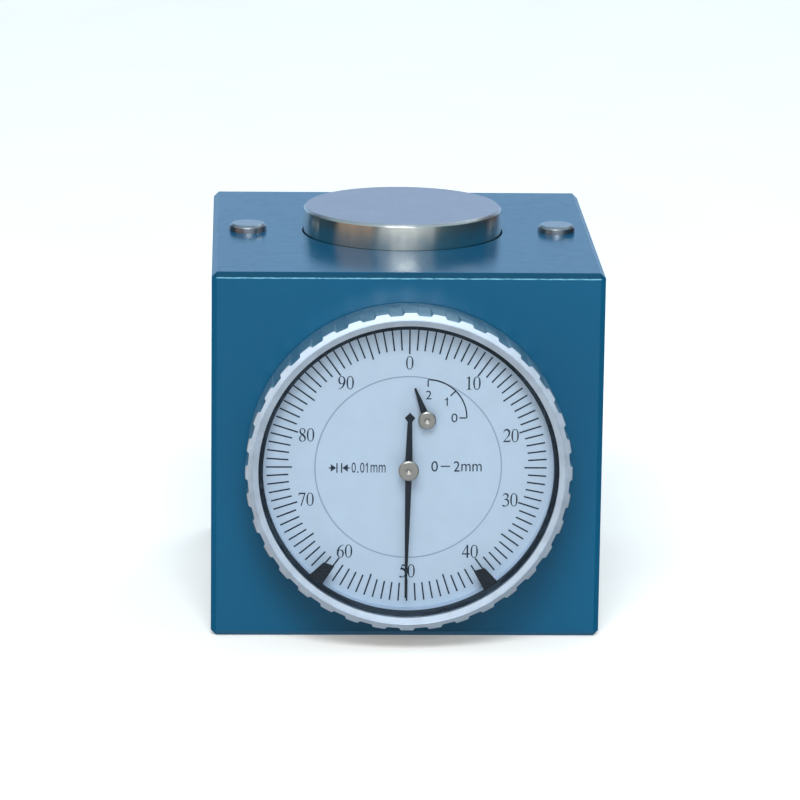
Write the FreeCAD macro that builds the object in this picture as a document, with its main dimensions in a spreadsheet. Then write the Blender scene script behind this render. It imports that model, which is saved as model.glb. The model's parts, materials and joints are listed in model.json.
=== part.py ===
"""Dial zero setter: a magnetic setting block with a spring-loaded anvil and a dial that reads its height.

Millimetres. +Z is up, X runs to the right of the dial and the dial faces -Y. The origin is the centre of the
base's underside. Dial pieces are drawn in a front frame: x right, y up, z out of the block's front face,
with its origin on the dial's axis.
"""

import FreeCAD, Part
import math
import os
import re

import Sketcher

Vector = FreeCAD.Vector
Rotation = FreeCAD.Rotation

# Driving dimensions, in millimetres unless the name says otherwise.
SIZES = {
    # block
    "block_width": 51.2,
    "block_depth": 55.0,
    "block_height": 49.0,
    "block_chamfer": 0.7,
    "recess_radius": 13.55,
    "recess_depth": 4.5,
    "cavity_half_width": 9.5,
    "cavity_top": 35.0,
    "cavity_back": 14.5,
    "slip": 0.02,
    # anvil and its guide
    "anvil_radius": 13.35,
    "anvil_top": 52.5,
    "anvil_thickness": 5.0,
    "anvil_chamfer": 0.35,
    "stem_radius": 5.0,
    "stem_shoulder": 33.0,
    "spigot_radius": 3.0,
    "bush_radius": 8.0,
    "running_gap": 0.03,
    "collar_radius": 6.8,
    "collar_groove_radius": 4.3,
    "collar_bottom": 33.8,
    "arm_bottom": 27.5,
    "arm_finger_bottom": 28.2,
    "arm_finger_top": 34.2,
    "guide_pin_radius": 1.5,
    "guide_pin_offset": 11.0,
    # reference pins
    "pin_radius": 2.5,
    "pin_spacing": 41.7,
    "pin_top": 50.0,
    "pin_depth": 8.0,
    # base
    "plate_width": 45.2,
    "plate_depth": 49.0,
    "plate_thickness": 4.0,
    "base_screw_x": 19.0,
    "base_screw_y": 21.0,
    "base_screw_top": 11.8,
    "magnet_radius": 5.0,
    "magnet_x": 12.5,
    "magnet_y": 15.5,
    "magnet_top": 3.0,
    "flush_gap": 0.1,
    # return spring
    "spring_radius": 3.6,
    "spring_wire": 0.4,
    "spring_pitch": 2.6,
    "spring_seat_height": 1.5,
    # dial unit
    "dial_height": 24.2,
    "bore_radius": 18.05,
    "bore_depth": 12.0,
    "case_radius": 18.0,
    "case_inner_radius": 16.8,
    "case_wall": 1.6,
    "case_rim_radius": 19.29,
    "case_rim_front": 3.2,
    "case_screw_ring": 14.6,
    # bezel
    "bezel_radius": 21.2,
    "bezel_back_radius": 20.95,
    "bezel_front": 7.4,
    "bezel_ridge_radius": 20.28,
    "bezel_ridge_front": 7.58,
    "bezel_ridge_line": 0.05,
    "bezel_lip_front": 7.46,
    "bezel_bore": 19.36,
    "bezel_gap": 0.25,
    "bezel_edge_break": 0.08,
    "window_radius": 19.48,
    "lobe_count": 36,
    "scallop_floor": 20.83,
    "scallop_floor_half": 0.78,
    "scallop_mouth": 21.5,
    "scallop_mouth_half": 1.36,
    "spring_groove_back": 1.8,
    "spring_groove_front": 2.6,
    "spring_groove_depth": 0.3,
    "seal_outer_radius": 19.44,
    "seal_inner_radius": 18.86,
    "seal_front": 6.75,
    "seal_back": 5.9,
    "seal_groove_radius": 19.29,
    "seal_groove_back": 6.2,
    "seal_groove_front": 6.6,
    "crystal_radius": 19.44,
    "crystal_front": 7.36,
    "crystal_edge_break": 0.1,
    # dial plates
    "dial_face": 4.4,
    "dial_thickness": 0.5,
    "scale_outer_radius": 19.3,
    "scale_inner_radius": 12.2,
    "inner_dial_radius": 12.1,
    # movement: distances out of the block's front face, so inside it is negative
    "plate_radius": 15.8,
    "front_plate_back": -1.5,
    "front_plate_front": -0.5,
    "back_plate_back": -8.0,
    "back_plate_front": -7.0,
    "case_floor": -10.4,
    "pillar_ring": 13.6,
    "pillar_radius": 1.2,
    "stud_radius": 0.6,
    "small_axis_x": 2.34,
    "small_axis_y": 6.54,
    "takeup_axis_x": -4.912,
    "takeup_axis_y": -4.912,
    "journal_radius": 0.42,
    "bushing_radius": 1.0,
    # gears
    "rack_pitch": 0.5,
    "rack_pinion_teeth": 16,
    "wheel_teeth": 80,
    "pinion_teeth": 10,
    "rack_back": 5.4,
    "rack_low": 4.0,
    "rack_high": 12.8,
    "rack_gap_count": 16,
    # pointers and limit hands
    "main_pointer_back": 5.9,
    "small_pointer_back": 5.1,
    "pointer_thickness": 0.2,
    "main_pointer_length": 17.15,
    "main_tail_length": 7.7,
    "small_pointer_length": 4.5,
    "main_hub_radius": 1.33,
    "main_hub_front": 6.5,
    "small_hub_radius": 1.16,
    "small_hub_front": 5.65,
    "rivet_radius": 0.15,
    "limit_hand_inner": 15.9,
    "limit_hand_plane": 6.3,
    "limit_hand_thickness": 0.2,
}

# Readings that set how the hands stand at rest.
TOOTH_SHARE = 0.42
FLANK_SLOPE = math.tan(math.radians(20))
TURN_PER_DIVISION = 3.6
MAIN_READING = 50.2
SMALL_POINTER_ANGLE = 110.8
LEFT_LIMIT_READING = 60.9
RIGHT_LIMIT_READING = 40.2

doc = FreeCAD.newDocument("dial_zero_setter")
subparts = []


def write_sheet():
    """Puts every driving dimension in a spreadsheet cell with its name as the alias."""
    sheet = doc.addObject("Spreadsheet::Sheet", "Dimensions")
    for row, (name, value) in enumerate(SIZES.items(), start=1):
        sheet.set(f"A{row}", name)
        sheet.set(f"B{row}", str(value))
        sheet.setAlias(f"B{row}", name)
    doc.recompute()
    return sheet


sheet = write_sheet()


def size(name):
    """A driving dimension's value, read from the sheet."""
    return float(sheet.get(name))


def cells(expression):
    """The expression with each dimension's name turned into its cell."""
    return re.sub(
        r"[a-z][a-z_]*", lambda word: "Dimensions." + word[0] if word[0] in SIZES else word[0], expression
    )


def bind(item, prop, expression):
    item.setExpression(prop, cells(str(expression)))


def keep(item, label):
    """Registers a finished sub-part under the name of its node."""
    item.Label = label
    subparts.append(item)
    return item


# ---- sketched bodies ----------------------------------------------------------------------------------


def new_body(name):
    return doc.addObject("PartDesign::Body", name)


def put_upright(body, x="0", y="0", z="0"):
    """Places a body, or a primitive, with its own z axis vertical."""
    for axis, value in zip("xyz", (x, y, z)):
        bind(body, "Placement.Base." + axis, value)
    return body


def put_front(body, x="0", y="0", turn=0.0, out="0"):
    """Places a body in the dial's front frame, turned counter-clockwise by turn degrees as seen from the front."""
    facing = Rotation(Vector(1, 0, 0), 90).multiply(Rotation(Vector(0, 0, 1), turn))
    body.Placement = FreeCAD.Placement(Vector(), facing)
    bind(body, "Placement.Base.x", x)
    bind(body, "Placement.Base.y", f"-block_depth / 2 - ({out})")
    bind(body, "Placement.Base.z", f"dial_height + ({y})")
    return body


def new_sketch(body, plane="XY_Plane", offset="0"):
    """A sketch on one of the body's own planes, moved along that plane's normal."""
    sketch = body.newObject("Sketcher::SketchObject", body.Name + "_sketch")
    support = next(item for item in body.Origin.OriginFeatures if item.Role == plane)
    sketch.AttachmentSupport = [(support, "")]
    sketch.MapMode = "FlatFace"
    bind(sketch, "AttachmentOffset.Base.z", offset)
    return sketch


def fix_point(sketch, line, end, x, y):
    """Holds a point of the sketch at x, y, given as expressions."""
    for kind, axis, value in (("DistanceX", -2, x), ("DistanceY", -1, y)):
        if value == "0":
            sketch.addConstraint(Sketcher.Constraint("PointOnObject", line, end, axis))
        else:
            number = sketch.addConstraint(Sketcher.Constraint(kind, -1, 1, line, end, 1.0))
            bind(sketch, f"Constraints[{number}]", value)


def draw_outline(sketch, points):
    """A closed outline through points, each a pair of expressions."""
    first = sketch.GeometryCount
    count = len(points)
    corners = [
        Vector(10 * math.cos(2 * math.pi * i / count), 10 * math.sin(2 * math.pi * i / count), 0)
        for i in range(count)
    ]
    for i in range(count):
        sketch.addGeometry(Part.LineSegment(corners[i], corners[(i + 1) % count]), False)
    for i in range(count):
        following = first + (i + 1) % count
        sketch.addConstraint(Sketcher.Constraint("Coincident", first + i, 2, following, 1))
    for i, (x, y) in enumerate(points):
        fix_point(sketch, first + i, 1, x, y)
    return sketch


def draw_rectangle(sketch, x0, x1, y0, y1):
    return draw_outline(sketch, [(x0, y0), (x1, y0), (x1, y1), (x0, y1)])


def draw_circle(sketch, x, y, radius):
    number = sketch.addGeometry(Part.Circle(Vector(0, 0, 0), Vector(0, 0, 1), 1.0), False)
    fix_point(sketch, number, 3, x, y)
    radius_number = sketch.addConstraint(Sketcher.Constraint("Radius", number, 1.0))
    bind(sketch, f"Constraints[{radius_number}]", radius)
    return sketch


def pad(body, sketch, length):
    feature = body.newObject("PartDesign::Pad", body.Name + "_pad")
    feature.Profile = sketch
    bind(feature, "Length", length)
    doc.recompute()
    return feature


def pocket(body, sketch, length, direction=None):
    """Cuts the sketch into the body and confirms that it removed something.

    The cut runs towards the back of the sketch's plane, or along a direction given in the body's own frame.
    """
    before = body.Shape.Volume
    feature = body.newObject("PartDesign::Pocket", body.Name + "_pocket")
    feature.Profile = sketch
    bind(feature, "Length", length)
    if direction:
        feature.UseCustomVector = True
        feature.Direction = direction
    doc.recompute()
    if body.Shape.Volume >= before:
        raise RuntimeError(f"{feature.Name} cut nothing from {body.Name}")
    return feature


def chamfer_edges(body, feature, edges, width):
    edge_break = body.newObject("PartDesign::Chamfer", body.Name + "_chamfer")
    edge_break.Base = (feature, edges)
    bind(edge_break, "Size", width)
    doc.recompute()
    return edge_break


def turn_about_axis(body, points, plane="XZ_Plane"):
    """Revolves an outline of (radius, height) points about the body's own z axis."""
    sketch = draw_outline(new_sketch(body, plane), points)
    feature = body.newObject("PartDesign::Revolution", body.Name + "_turned")
    feature.Profile = sketch
    feature.ReferenceAxis = (sketch, ["V_Axis"])
    feature.Angle = 360
    doc.recompute()
    return feature


def repeat_round(body, feature, count):
    pattern = body.newObject("PartDesign::PolarPattern", body.Name + "_round")
    pattern.Originals = [feature]
    pattern.Axis = (feature.Profile[0], ["N_Axis"])
    pattern.Angle = 360
    bind(pattern, "Occurrences", count)
    body.Tip = pattern
    doc.recompute()
    return pattern


def turned(name, points):
    body = new_body(name)
    turn_about_axis(body, points)
    return body


# ---- primitives ---------------------------------------------------------------------------------------


def box(name, x0, x1, y0, y1, z0, z1):
    item = doc.addObject("Part::Box", name)
    for prop, low, high in (("Length", x0, x1), ("Width", y0, y1), ("Height", z0, z1)):
        bind(item, prop, f"({high}) - ({low})")
    return put_upright(item, x0, y0, z0)


def rod(name, x, y, z0, z1, radius):
    """A vertical cylinder."""
    item = doc.addObject("Part::Cylinder", name)
    bind(item, "Radius", radius)
    bind(item, "Height", f"({z1}) - ({z0})")
    return put_upright(item, x, y, z0)


def front_rod(name, x, y, z0, z1, radius):
    """A cylinder along the dial's axis, from z0 to z1 out of the block's front face."""
    item = doc.addObject("Part::Cylinder", name)
    bind(item, "Radius", radius)
    bind(item, "Height", f"({z1}) - ({z0})")
    return put_front(item, x, y, out=z0)


def cut(name, base, tools):
    item = doc.addObject("Part::Cut", name)
    item.Base = base
    item.Tool = fuse(name + "_tools", tools) if len(tools) > 1 else tools[0]
    doc.recompute()
    return item


def fuse(name, items):
    item = doc.addObject("Part::MultiFuse", name)
    item.Shapes = items
    doc.recompute()
    return item


def group(name, items):
    """Identical loose pieces that share one node."""
    item = doc.addObject("Part::Compound", name + "_set")
    item.Links = items
    doc.recompute()
    return keep(item, name)


def ring_points(radius, angles):
    """(x, y) expressions of points on a circle of the front frame."""
    return [(f"{radius} * cos({angle} deg)", f"{radius} * sin({angle} deg)") for angle in angles]


CORNERS = [(1, 1), (-1, 1), (-1, -1), (1, -1)]
PILLAR_ANGLES = (20, 140, 260)
POST_ANGLES = (80, 200, 320)
CASE_SCREW_ANGLES = (40, 160, 220, 320)


# ---- block and base -----------------------------------------------------------------------------------


def block_body():
    """The painted block: anvil recess, guide bore and cavity on the vertical axis, dial bore in front."""
    body = new_body("block_body")
    outline = draw_rectangle(
        new_sketch(body), "-block_width / 2", "block_width / 2", "-block_depth / 2", "block_depth / 2"
    )
    blank = pad(body, outline, "block_height")
    edges = [f"Edge{i + 1}" for i in range(len(blank.Shape.Edges))]
    chamfer_edges(body, blank, edges, "block_chamfer")

    recess = new_sketch(body, offset="block_height")
    pocket(body, draw_circle(recess, "0", "0", "recess_radius"), "recess_depth")
    guide = new_sketch(body, offset="block_height")
    pocket(body, draw_circle(guide, "0", "0", "bush_radius + slip"), "block_height - cavity_top + 1")
    pins = new_sketch(body, offset="block_height")
    for side in ("-", ""):
        draw_circle(pins, f"{side}pin_spacing / 2", "0", "pin_radius + slip")
    pocket(body, pins, "pin_depth")

    cavity = new_sketch(body, offset="cavity_top")
    draw_rectangle(
        cavity, "-cavity_half_width", "cavity_half_width", "bore_depth - block_depth / 2", "cavity_back"
    )
    pocket(body, cavity, "cavity_top")
    under = new_sketch(body, offset="plate_thickness")
    draw_rectangle(
        under,
        "-plate_width / 2 - slip",
        "plate_width / 2 + slip",
        "-plate_depth / 2 - slip",
        "plate_depth / 2 + slip",
    )
    pocket(body, under, "plate_thickness")
    threads = new_sketch(body, offset="base_screw_top + 0.5")
    for right, back in CORNERS:
        draw_circle(threads, f"{right} * base_screw_x", f"{back} * base_screw_y", "1.5 + slip")
    pocket(body, threads, "base_screw_top")
    guide_pin = new_sketch(body, offset="cavity_top + 4")
    pocket(body, draw_circle(guide_pin, "0", "guide_pin_offset", "guide_pin_radius + slip"), "5")

    dial_bore = new_sketch(body, "XZ_Plane", "block_depth / 2")
    pocket(body, draw_circle(dial_bore, "0", "dial_height", "bore_radius"), "bore_depth")
    case_threads = new_sketch(body, "XZ_Plane", "block_depth / 2 - bore_depth")
    for x, y in ring_points("case_screw_ring", CASE_SCREW_ANGLES):
        draw_circle(case_threads, x, f"dial_height + {y}", "1 + slip")
    pocket(body, case_threads, "5.5")
    return keep(body, "block_body")


def reference_pins():
    """Two ground pins whose tops are the standard height above the base."""
    pins = []
    for side in ("-", ""):
        pin = turned(
            "reference_pin",
            [
                ("0", "block_height - pin_depth + 0.2"),
                ("pin_radius", "block_height - pin_depth + 0.2"),
                ("pin_radius", "pin_top - anvil_chamfer"),
                ("pin_radius - anvil_chamfer", "pin_top"),
                ("0", "pin_top"),
            ],
        )
        pins.append(put_upright(pin, f"{side}pin_spacing / 2"))
    return group("reference_pins", pins)


def guide_bush():
    """Bronze bush in which the anvil's stem slides."""
    inner = "stem_radius + running_gap"
    top = "block_height - recess_depth"
    return keep(
        turned(
            "guide_bush",
            [
                (inner, "cavity_top"),
                ("bush_radius", "cavity_top"),
                ("bush_radius", top),
                (inner, top),
            ],
        ),
        "guide_bush",
    )


def anti_rotation_pin():
    return keep(
        rod("guide_pin", "0", "guide_pin_offset", "6", "cavity_top + 3.9", "guide_pin_radius"),
        "anti_rotation_pin",
    )


def base_plate():
    """Steel plate let into the underside, with pockets for the magnets and countersunk screw holes."""
    plate = box(
        "plate_blank",
        "-plate_width / 2",
        "plate_width / 2",
        "-plate_depth / 2",
        "plate_depth / 2",
        "0",
        "plate_thickness",
    )
    tools = []
    for right, back in CORNERS:
        x, y = f"{right} * base_screw_x", f"{back} * base_screw_y"
        tools.append(rod("screw_hole", x, y, "-1", "plate_thickness + 1", "1.6"))
        sink = doc.addObject("Part::Cone", "screw_sink")
        sink.Radius1 = 3.0
        sink.Radius2 = 1.5
        sink.Height = 1.9
        tools.append(put_upright(sink, x, y, "0"))
        x, y = f"{right} * magnet_x", f"{back} * magnet_y"
        tools.append(rod("magnet_pocket", x, y, "-1", "magnet_top + slip", "magnet_radius + slip"))
    return keep(cut("plate", plate, tools), "base_plate")


def base_plate_screws():
    screws = []
    for right, back in CORNERS:
        screw = turned(
            "base_screw",
            [
                ("0", "flush_gap"),
                ("2.7", "flush_gap"),
                ("2.7", "flush_gap + 0.15"),
                ("1.5", "flush_gap + 1.5"),
                ("1.5", "base_screw_top"),
                ("0", "base_screw_top"),
            ],
        )
        slot = draw_rectangle(new_sketch(screw, offset="flush_gap + 0.8"), "-3", "3", "-0.35", "0.35")
        pocket(screw, slot, "1")
        screws.append(put_upright(screw, f"{right} * base_screw_x", f"{back} * base_screw_y"))
    return group("base_plate_screws", screws)


def magnets():
    discs = [
        rod("magnet", f"{right} * magnet_x", f"{back} * magnet_y", "flush_gap", "magnet_top", "magnet_radius")
        for right, back in CORNERS
    ]
    return group("magnets", discs)


def spring_seat():
    top = "plate_thickness + spring_seat_height"
    return keep(
        turned(
            "spring_seat",
            [
                ("0", "plate_thickness"),
                ("5", "plate_thickness"),
                ("5", top),
                ("2.6", top),
                ("2.6", "18.6"),
                ("2.2", "19"),
                ("0", "19"),
            ],
        ),
        "spring_seat",
    )


def return_spring():
    """Round-wire compression spring between its seat and the arm. The wire's section stands square to it."""
    bottom = "plate_thickness + spring_seat_height + spring_wire + 0.05"
    helix = doc.addObject("Part::Helix", "spring_line")
    bind(helix, "Radius", "spring_radius")
    bind(helix, "Pitch", "spring_pitch")
    bind(helix, "Height", f"arm_bottom - spring_wire - 0.05 - ({bottom})")
    helix.SegmentLength = 0.5
    lead_angle = math.degrees(math.atan(size("spring_pitch") / (2 * math.pi * size("spring_radius"))))
    wire = doc.addObject("Part::Circle", "spring_wire_section")
    bind(wire, "Radius", "spring_wire")
    wire.Placement = FreeCAD.Placement(Vector(), Rotation(Vector(1, 0, 0), 90 + lead_angle))
    bind(wire, "Placement.Base.x", "spring_radius")
    doc.recompute()
    coil = doc.addObject("Part::Sweep", "spring_coil")
    coil.Sections = [wire]
    coil.Spine = (helix, [f"Edge{i + 1}" for i in range(len(helix.Shape.Edges))])
    coil.Solid = True
    coil.Frenet = True
    doc.recompute()
    return keep(put_upright(coil, z=bottom), "return_spring")


# ---- anvil and rack -----------------------------------------------------------------------------------


def anvil_disc():
    """Ground measuring anvil, with a blind hole below for the stem's top spigot."""
    bottom = "anvil_top - anvil_thickness"
    return keep(
        turned(
            "anvil_disc",
            [
                ("0", "anvil_top - 1.5"),
                ("spigot_radius + slip", "anvil_top - 1.5"),
                ("spigot_radius + slip", bottom),
                ("anvil_radius - anvil_chamfer", bottom),
                ("anvil_radius", f"{bottom} + anvil_chamfer"),
                ("anvil_radius", "anvil_top - anvil_chamfer"),
                ("anvil_radius - anvil_chamfer", "anvil_top"),
                ("0", "anvil_top"),
            ],
        ),
        "anvil_disc",
    )


def plunger_stem():
    """Sliding stem: top spigot in the anvil, a clip groove, and a lower spigot in the rack arm."""
    shoulder = "anvil_top - anvil_thickness"
    groove_top = "cavity_top - slip"
    return keep(
        turned(
            "plunger_stem",
            [
                ("0", "arm_bottom + 4.5"),
                ("1.5 + slip", "arm_bottom + 4.5"),
                ("1.5 + slip", "arm_bottom + 0.1"),
                ("spigot_radius", "arm_bottom + 0.1"),
                ("spigot_radius", "stem_shoulder"),
                ("stem_radius", "stem_shoulder"),
                ("stem_radius", "collar_bottom"),
                ("collar_groove_radius", "collar_bottom"),
                ("collar_groove_radius", groove_top),
                ("stem_radius", groove_top),
                ("stem_radius", shoulder),
                ("spigot_radius", shoulder),
                ("spigot_radius", "anvil_top - 1.6"),
                ("0", "anvil_top - 1.6"),
            ],
        ),
        "plunger_stem",
    )


def stop_collar():
    """Clip round the stem that meets the guide bush at the top of the travel."""
    ring = turned(
        "stop_collar",
        [
            ("collar_groove_radius + slip", "collar_bottom + slip"),
            ("collar_radius", "collar_bottom + slip"),
            ("collar_radius", "cavity_top - 2 * slip"),
            ("collar_groove_radius + slip", "cavity_top - 2 * slip"),
        ],
    )
    mouth = draw_rectangle(new_sketch(ring, offset="cavity_top"), "-2.6", "2.6", "0", "8")
    pocket(ring, mouth, "3")
    return keep(ring, "stop_collar")


def rack_arm():
    """Arm on the stem's foot: it carries the rack forward to the dial and slides on the guide pin behind."""
    solids = [
        rod("arm_hub", "0", "0", "arm_bottom", "stem_shoulder", "spigot_radius + 3"),
        box("arm_tail", "-3", "3", "0", "guide_pin_offset + 2.8", "arm_finger_bottom", "stem_shoulder - 1"),
        box("arm_front", "-3", "rack_back + 2.2", "-9", "0", "arm_finger_bottom", "stem_shoulder - 1"),
        box(
            "arm_finger",
            "rack_back",
            "rack_back + 2.2",
            "10 - block_depth / 2 - 1.4",
            "-7.5",
            "arm_finger_bottom",
            "arm_finger_top",
        ),
    ]
    holes = [
        rod("arm_bore", "0", "0", "arm_bottom - 1", "stem_shoulder + 1", "spigot_radius + slip"),
        rod("arm_guide", "0", "guide_pin_offset", "arm_bottom", "stem_shoulder", "guide_pin_radius + 0.05"),
    ]
    for height in rack_screw_heights():
        holes.append(side_rod("rack_screw_hole", "rack_back - 1", "rack_back + 4", height, "0.4 + slip"))
    arm = cut("arm", fuse("arm_solid", solids), holes)
    return keep(arm, "rack_arm")


def rack_screw_heights():
    return ("arm_finger_bottom + 1.3", "arm_finger_top - 1.3")


def side_rod(name, x0, x1, height, radius):
    """A cylinder along X through the middle of the rack."""
    item = doc.addObject("Part::Cylinder", name)
    bind(item, "Radius", radius)
    bind(item, "Height", f"({x1}) - ({x0})")
    item.Placement = FreeCAD.Placement(Vector(), Rotation(Vector(0, 1, 0), 90))
    return put_upright(item, x0, "9.3 - block_depth / 2", height)


def arm_screw():
    """Cap screw that holds the arm on the stem; its head stands inside the return spring."""
    screw = turned(
        "arm_screw",
        [
            ("0", "arm_bottom - 2.5"),
            ("2.6", "arm_bottom - 2.5"),
            ("2.75", "arm_bottom - 2.35"),
            ("2.75", "arm_bottom"),
            ("1.5", "arm_bottom"),
            ("1.5", "arm_bottom + 4.3"),
            ("0", "arm_bottom + 4.3"),
        ],
    )
    return keep(screw, "arm_screw")


def rack_bar():
    """Rack with its teeth towards -X. A tooth stands level with the rack pinion's axis at rest."""
    pitch = size("rack_pitch")
    module = pitch / math.pi
    tip = f"(small_axis_x + rack_pinion_teeth * rack_pitch / {2 * math.pi} - {0.8 * module})"
    bar = new_body("rack_blank")
    outline = draw_rectangle(new_sketch(bar), tip, "rack_back", "rack_low", "rack_high")
    pad(bar, outline, "1.4")
    gap_half = (1 - TOOTH_SHARE) * pitch / 2
    near, deep = gap_half + 0.8 * module * FLANK_SLOPE, gap_half - module * FLANK_SLOPE
    middle = "(small_axis_y - 3.5 * rack_pitch)"
    gap = new_sketch(bar, offset="2")
    draw_outline(
        gap,
        [
            (f"{tip} - 0.05", f"{middle} - {near + 0.05 * FLANK_SLOPE}"),
            (f"{tip} + {1.8 * module}", f"{middle} - {deep}"),
            (f"{tip} + {1.8 * module}", f"{middle} + {deep}"),
            (f"{tip} - 0.05", f"{middle} + {near + 0.05 * FLANK_SLOPE}"),
        ],
    )
    first = pocket(bar, gap, "3")
    pattern = bar.newObject("PartDesign::LinearPattern", "rack_teeth")
    pattern.Originals = [first]
    pattern.Direction = (gap, ["V_Axis"])
    bind(pattern, "Length", "(rack_gap_count - 1) * rack_pitch")
    bind(pattern, "Occurrences", "rack_gap_count")
    bar.Tip = pattern
    doc.recompute()
    put_front(bar, out="-10")
    threads = [
        side_rod("rack_thread", "rack_back - 1.4", "rack_back + 1", height, "0.4 + slip")
        for height in rack_screw_heights()
    ]
    return keep(cut("rack", bar, threads), "rack_bar")


def rack_screws():
    screws = []
    for height in rack_screw_heights():
        shank = side_rod("rack_screw_shank", "rack_back - 1.3", "rack_back + 2.25", height, "0.4")
        head = side_rod("rack_screw_head", "rack_back + 2.2", "rack_back + 2.8", height, "0.7")
        screws.append(fuse("rack_screw", [shank, head]))
    return group("rack_screws", screws)


# ---- dial unit ----------------------------------------------------------------------------------------


def dial_case():
    """Cup that holds the movement. Its rim turns the bezel and a window in its floor lets the rack arm in."""
    case = new_body("dial_case")
    turn_about_axis(
        case,
        [
            ("0", "-bore_depth"),
            ("case_radius", "-bore_depth"),
            ("case_radius", "0"),
            ("case_rim_radius", "0"),
            ("case_rim_radius", "1.8"),
            ("case_rim_radius - 0.34", "1.8"),
            ("case_rim_radius - 0.34", "2.6"),
            ("case_rim_radius", "2.6"),
            ("case_rim_radius", "case_rim_front"),
            ("case_inner_radius", "case_rim_front"),
            ("case_inner_radius", "case_floor"),
            ("0", "case_floor"),
        ],
    )
    bosses = new_sketch(case, offset="case_floor - 0.2")
    for x, y in ring_points("pillar_ring", PILLAR_ANGLES):
        draw_circle(bosses, x, y, "2")
    pad(case, bosses, "back_plate_back - case_floor + 0.2")
    stud_holes = new_sketch(case, offset="back_plate_back + 1")
    for x, y in ring_points("pillar_ring", PILLAR_ANGLES):
        draw_circle(stud_holes, x, y, "stud_radius + slip")
    pocket(case, stud_holes, "2.7")
    through = new_sketch(case, offset="case_floor + 1")
    for x, y in ring_points("case_screw_ring", CASE_SCREW_ANGLES):
        draw_circle(through, x, y, "1 + slip")
    draw_circle(through, "small_axis_x", "small_axis_y", "bushing_radius + slip")
    pocket(case, through, "case_wall + 2")
    window = new_sketch(case, offset="case_floor + 1")
    draw_rectangle(window, "rack_back - 0.3", "rack_back + 3.2", "0.9", "10.5")
    pocket(case, window, "case_wall + 2")
    return keep(put_front(case), "dial_case")


def case_screws():
    screws = []
    for x, y in ring_points("case_screw_ring", CASE_SCREW_ANGLES):
        screw = turned(
            "case_screw",
            [
                ("0", "-bore_depth - 5"),
                ("1", "-bore_depth - 5"),
                ("1", "case_floor"),
                ("1.8", "case_floor"),
                ("1.8", "case_floor + 0.9"),
                ("1.4", "case_floor + 1.3"),
                ("0", "case_floor + 1.3"),
            ],
        )
        screws.append(put_front(screw, x, y))
    return group("case_screws", screws)


ARBOR_AXES = {
    "centre": ("0", "0"),
    "small": ("small_axis_x", "small_axis_y"),
    "takeup": ("takeup_axis_x", "takeup_axis_y"),
}


def movement_plate(name, back, front, extra):
    """A round plate bored for the three arbors' bushings and for the studs at extra."""
    plate = new_body(name)
    blank = draw_circle(new_sketch(plate, offset=back), "0", "0", "plate_radius")
    pad(plate, blank, f"({front}) - ({back})")
    holes = new_sketch(plate, offset=f"({front}) + 1")
    for x, y in ARBOR_AXES.values():
        draw_circle(holes, x, y, "bushing_radius + slip")
    for x, y in extra:
        draw_circle(holes, x, y, "stud_radius + slip")
    pocket(plate, holes, f"({front}) - ({back}) + 2")
    return keep(put_front(plate), name)


def movement_pillars():
    pillars = []
    for x, y in ring_points("pillar_ring", PILLAR_ANGLES):
        pillar = turned(
            "pillar",
            [
                ("0", "back_plate_back - 1.5"),
                ("stud_radius", "back_plate_back - 1.5"),
                ("stud_radius", "back_plate_front"),
                ("pillar_radius", "back_plate_front"),
                ("pillar_radius", "front_plate_back"),
                ("stud_radius + slip", "front_plate_back"),
                ("stud_radius + slip", "front_plate_back - 2.2"),
                ("0", "front_plate_back - 2.2"),
            ],
        )
        pillars.append(put_front(pillar, x, y))
    return group("movement_pillars", pillars)


def movement_screws():
    screws = []
    for x, y in ring_points("pillar_ring", PILLAR_ANGLES):
        screw = turned(
            "movement_screw",
            [
                ("0", "front_plate_back - 2"),
                ("stud_radius", "front_plate_back - 2"),
                ("stud_radius", "front_plate_front"),
                ("1.2", "front_plate_front"),
                ("1.2", "front_plate_front + 0.8"),
                ("0", "front_plate_front + 0.8"),
            ],
        )
        slot = draw_rectangle(
            new_sketch(screw, offset="front_plate_front + 1"), "-1.5", "1.5", "-0.15", "0.15"
        )
        pocket(screw, slot, "0.5")
        screws.append(put_front(screw, x, y))
    return group("movement_screws", screws)


def arbor_bushings():
    """Bushings of the three arbors in both plates, and the small pointer arbor's third one in the case."""
    spans = [("front_plate_back", "front_plate_front"), ("back_plate_back", "back_plate_front")]
    places = [(axis, span) for axis in ARBOR_AXES.values() for span in spans]
    places.append((ARBOR_AXES["small"], ("-bore_depth", "case_floor")))
    bushings = []
    for (x, y), (low, high) in places:
        bushing = turned(
            "bushing",
            [
                ("journal_radius + slip", low),
                ("bushing_radius", low),
                ("bushing_radius", high),
                ("journal_radius + slip", high),
            ],
        )
        bushings.append(put_front(bushing, x, y))
    return group("arbor_bushings", bushings)


def dial_carrier():
    """Disc behind the dial: the inner dial sits on its raised middle and the scale ring turns round it."""
    carrier = new_body("dial_carrier")
    turn_about_axis(
        carrier,
        [
            ("0", "dial_face - 1.5"),
            ("plate_radius + 0.4", "dial_face - 1.5"),
            ("plate_radius + 0.4", "dial_face - 0.7"),
            ("inner_dial_radius", "dial_face - 0.7"),
            ("inner_dial_radius", "dial_face - dial_thickness"),
            ("0", "dial_face - dial_thickness"),
        ],
    )
    holes = new_sketch(carrier, offset="dial_face")
    draw_circle(holes, "0", "0", "bushing_radius")
    draw_circle(holes, "small_axis_x", "small_axis_y", "bushing_radius")
    pocket(carrier, holes, "2")
    sockets = new_sketch(carrier, offset="dial_face - 0.9")
    for x, y in ring_points("pillar_ring", POST_ANGLES):
        draw_circle(sockets, x, y, "stud_radius + slip")
    pocket(carrier, sockets, "1")
    return keep(put_front(carrier), "dial_carrier")


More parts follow.
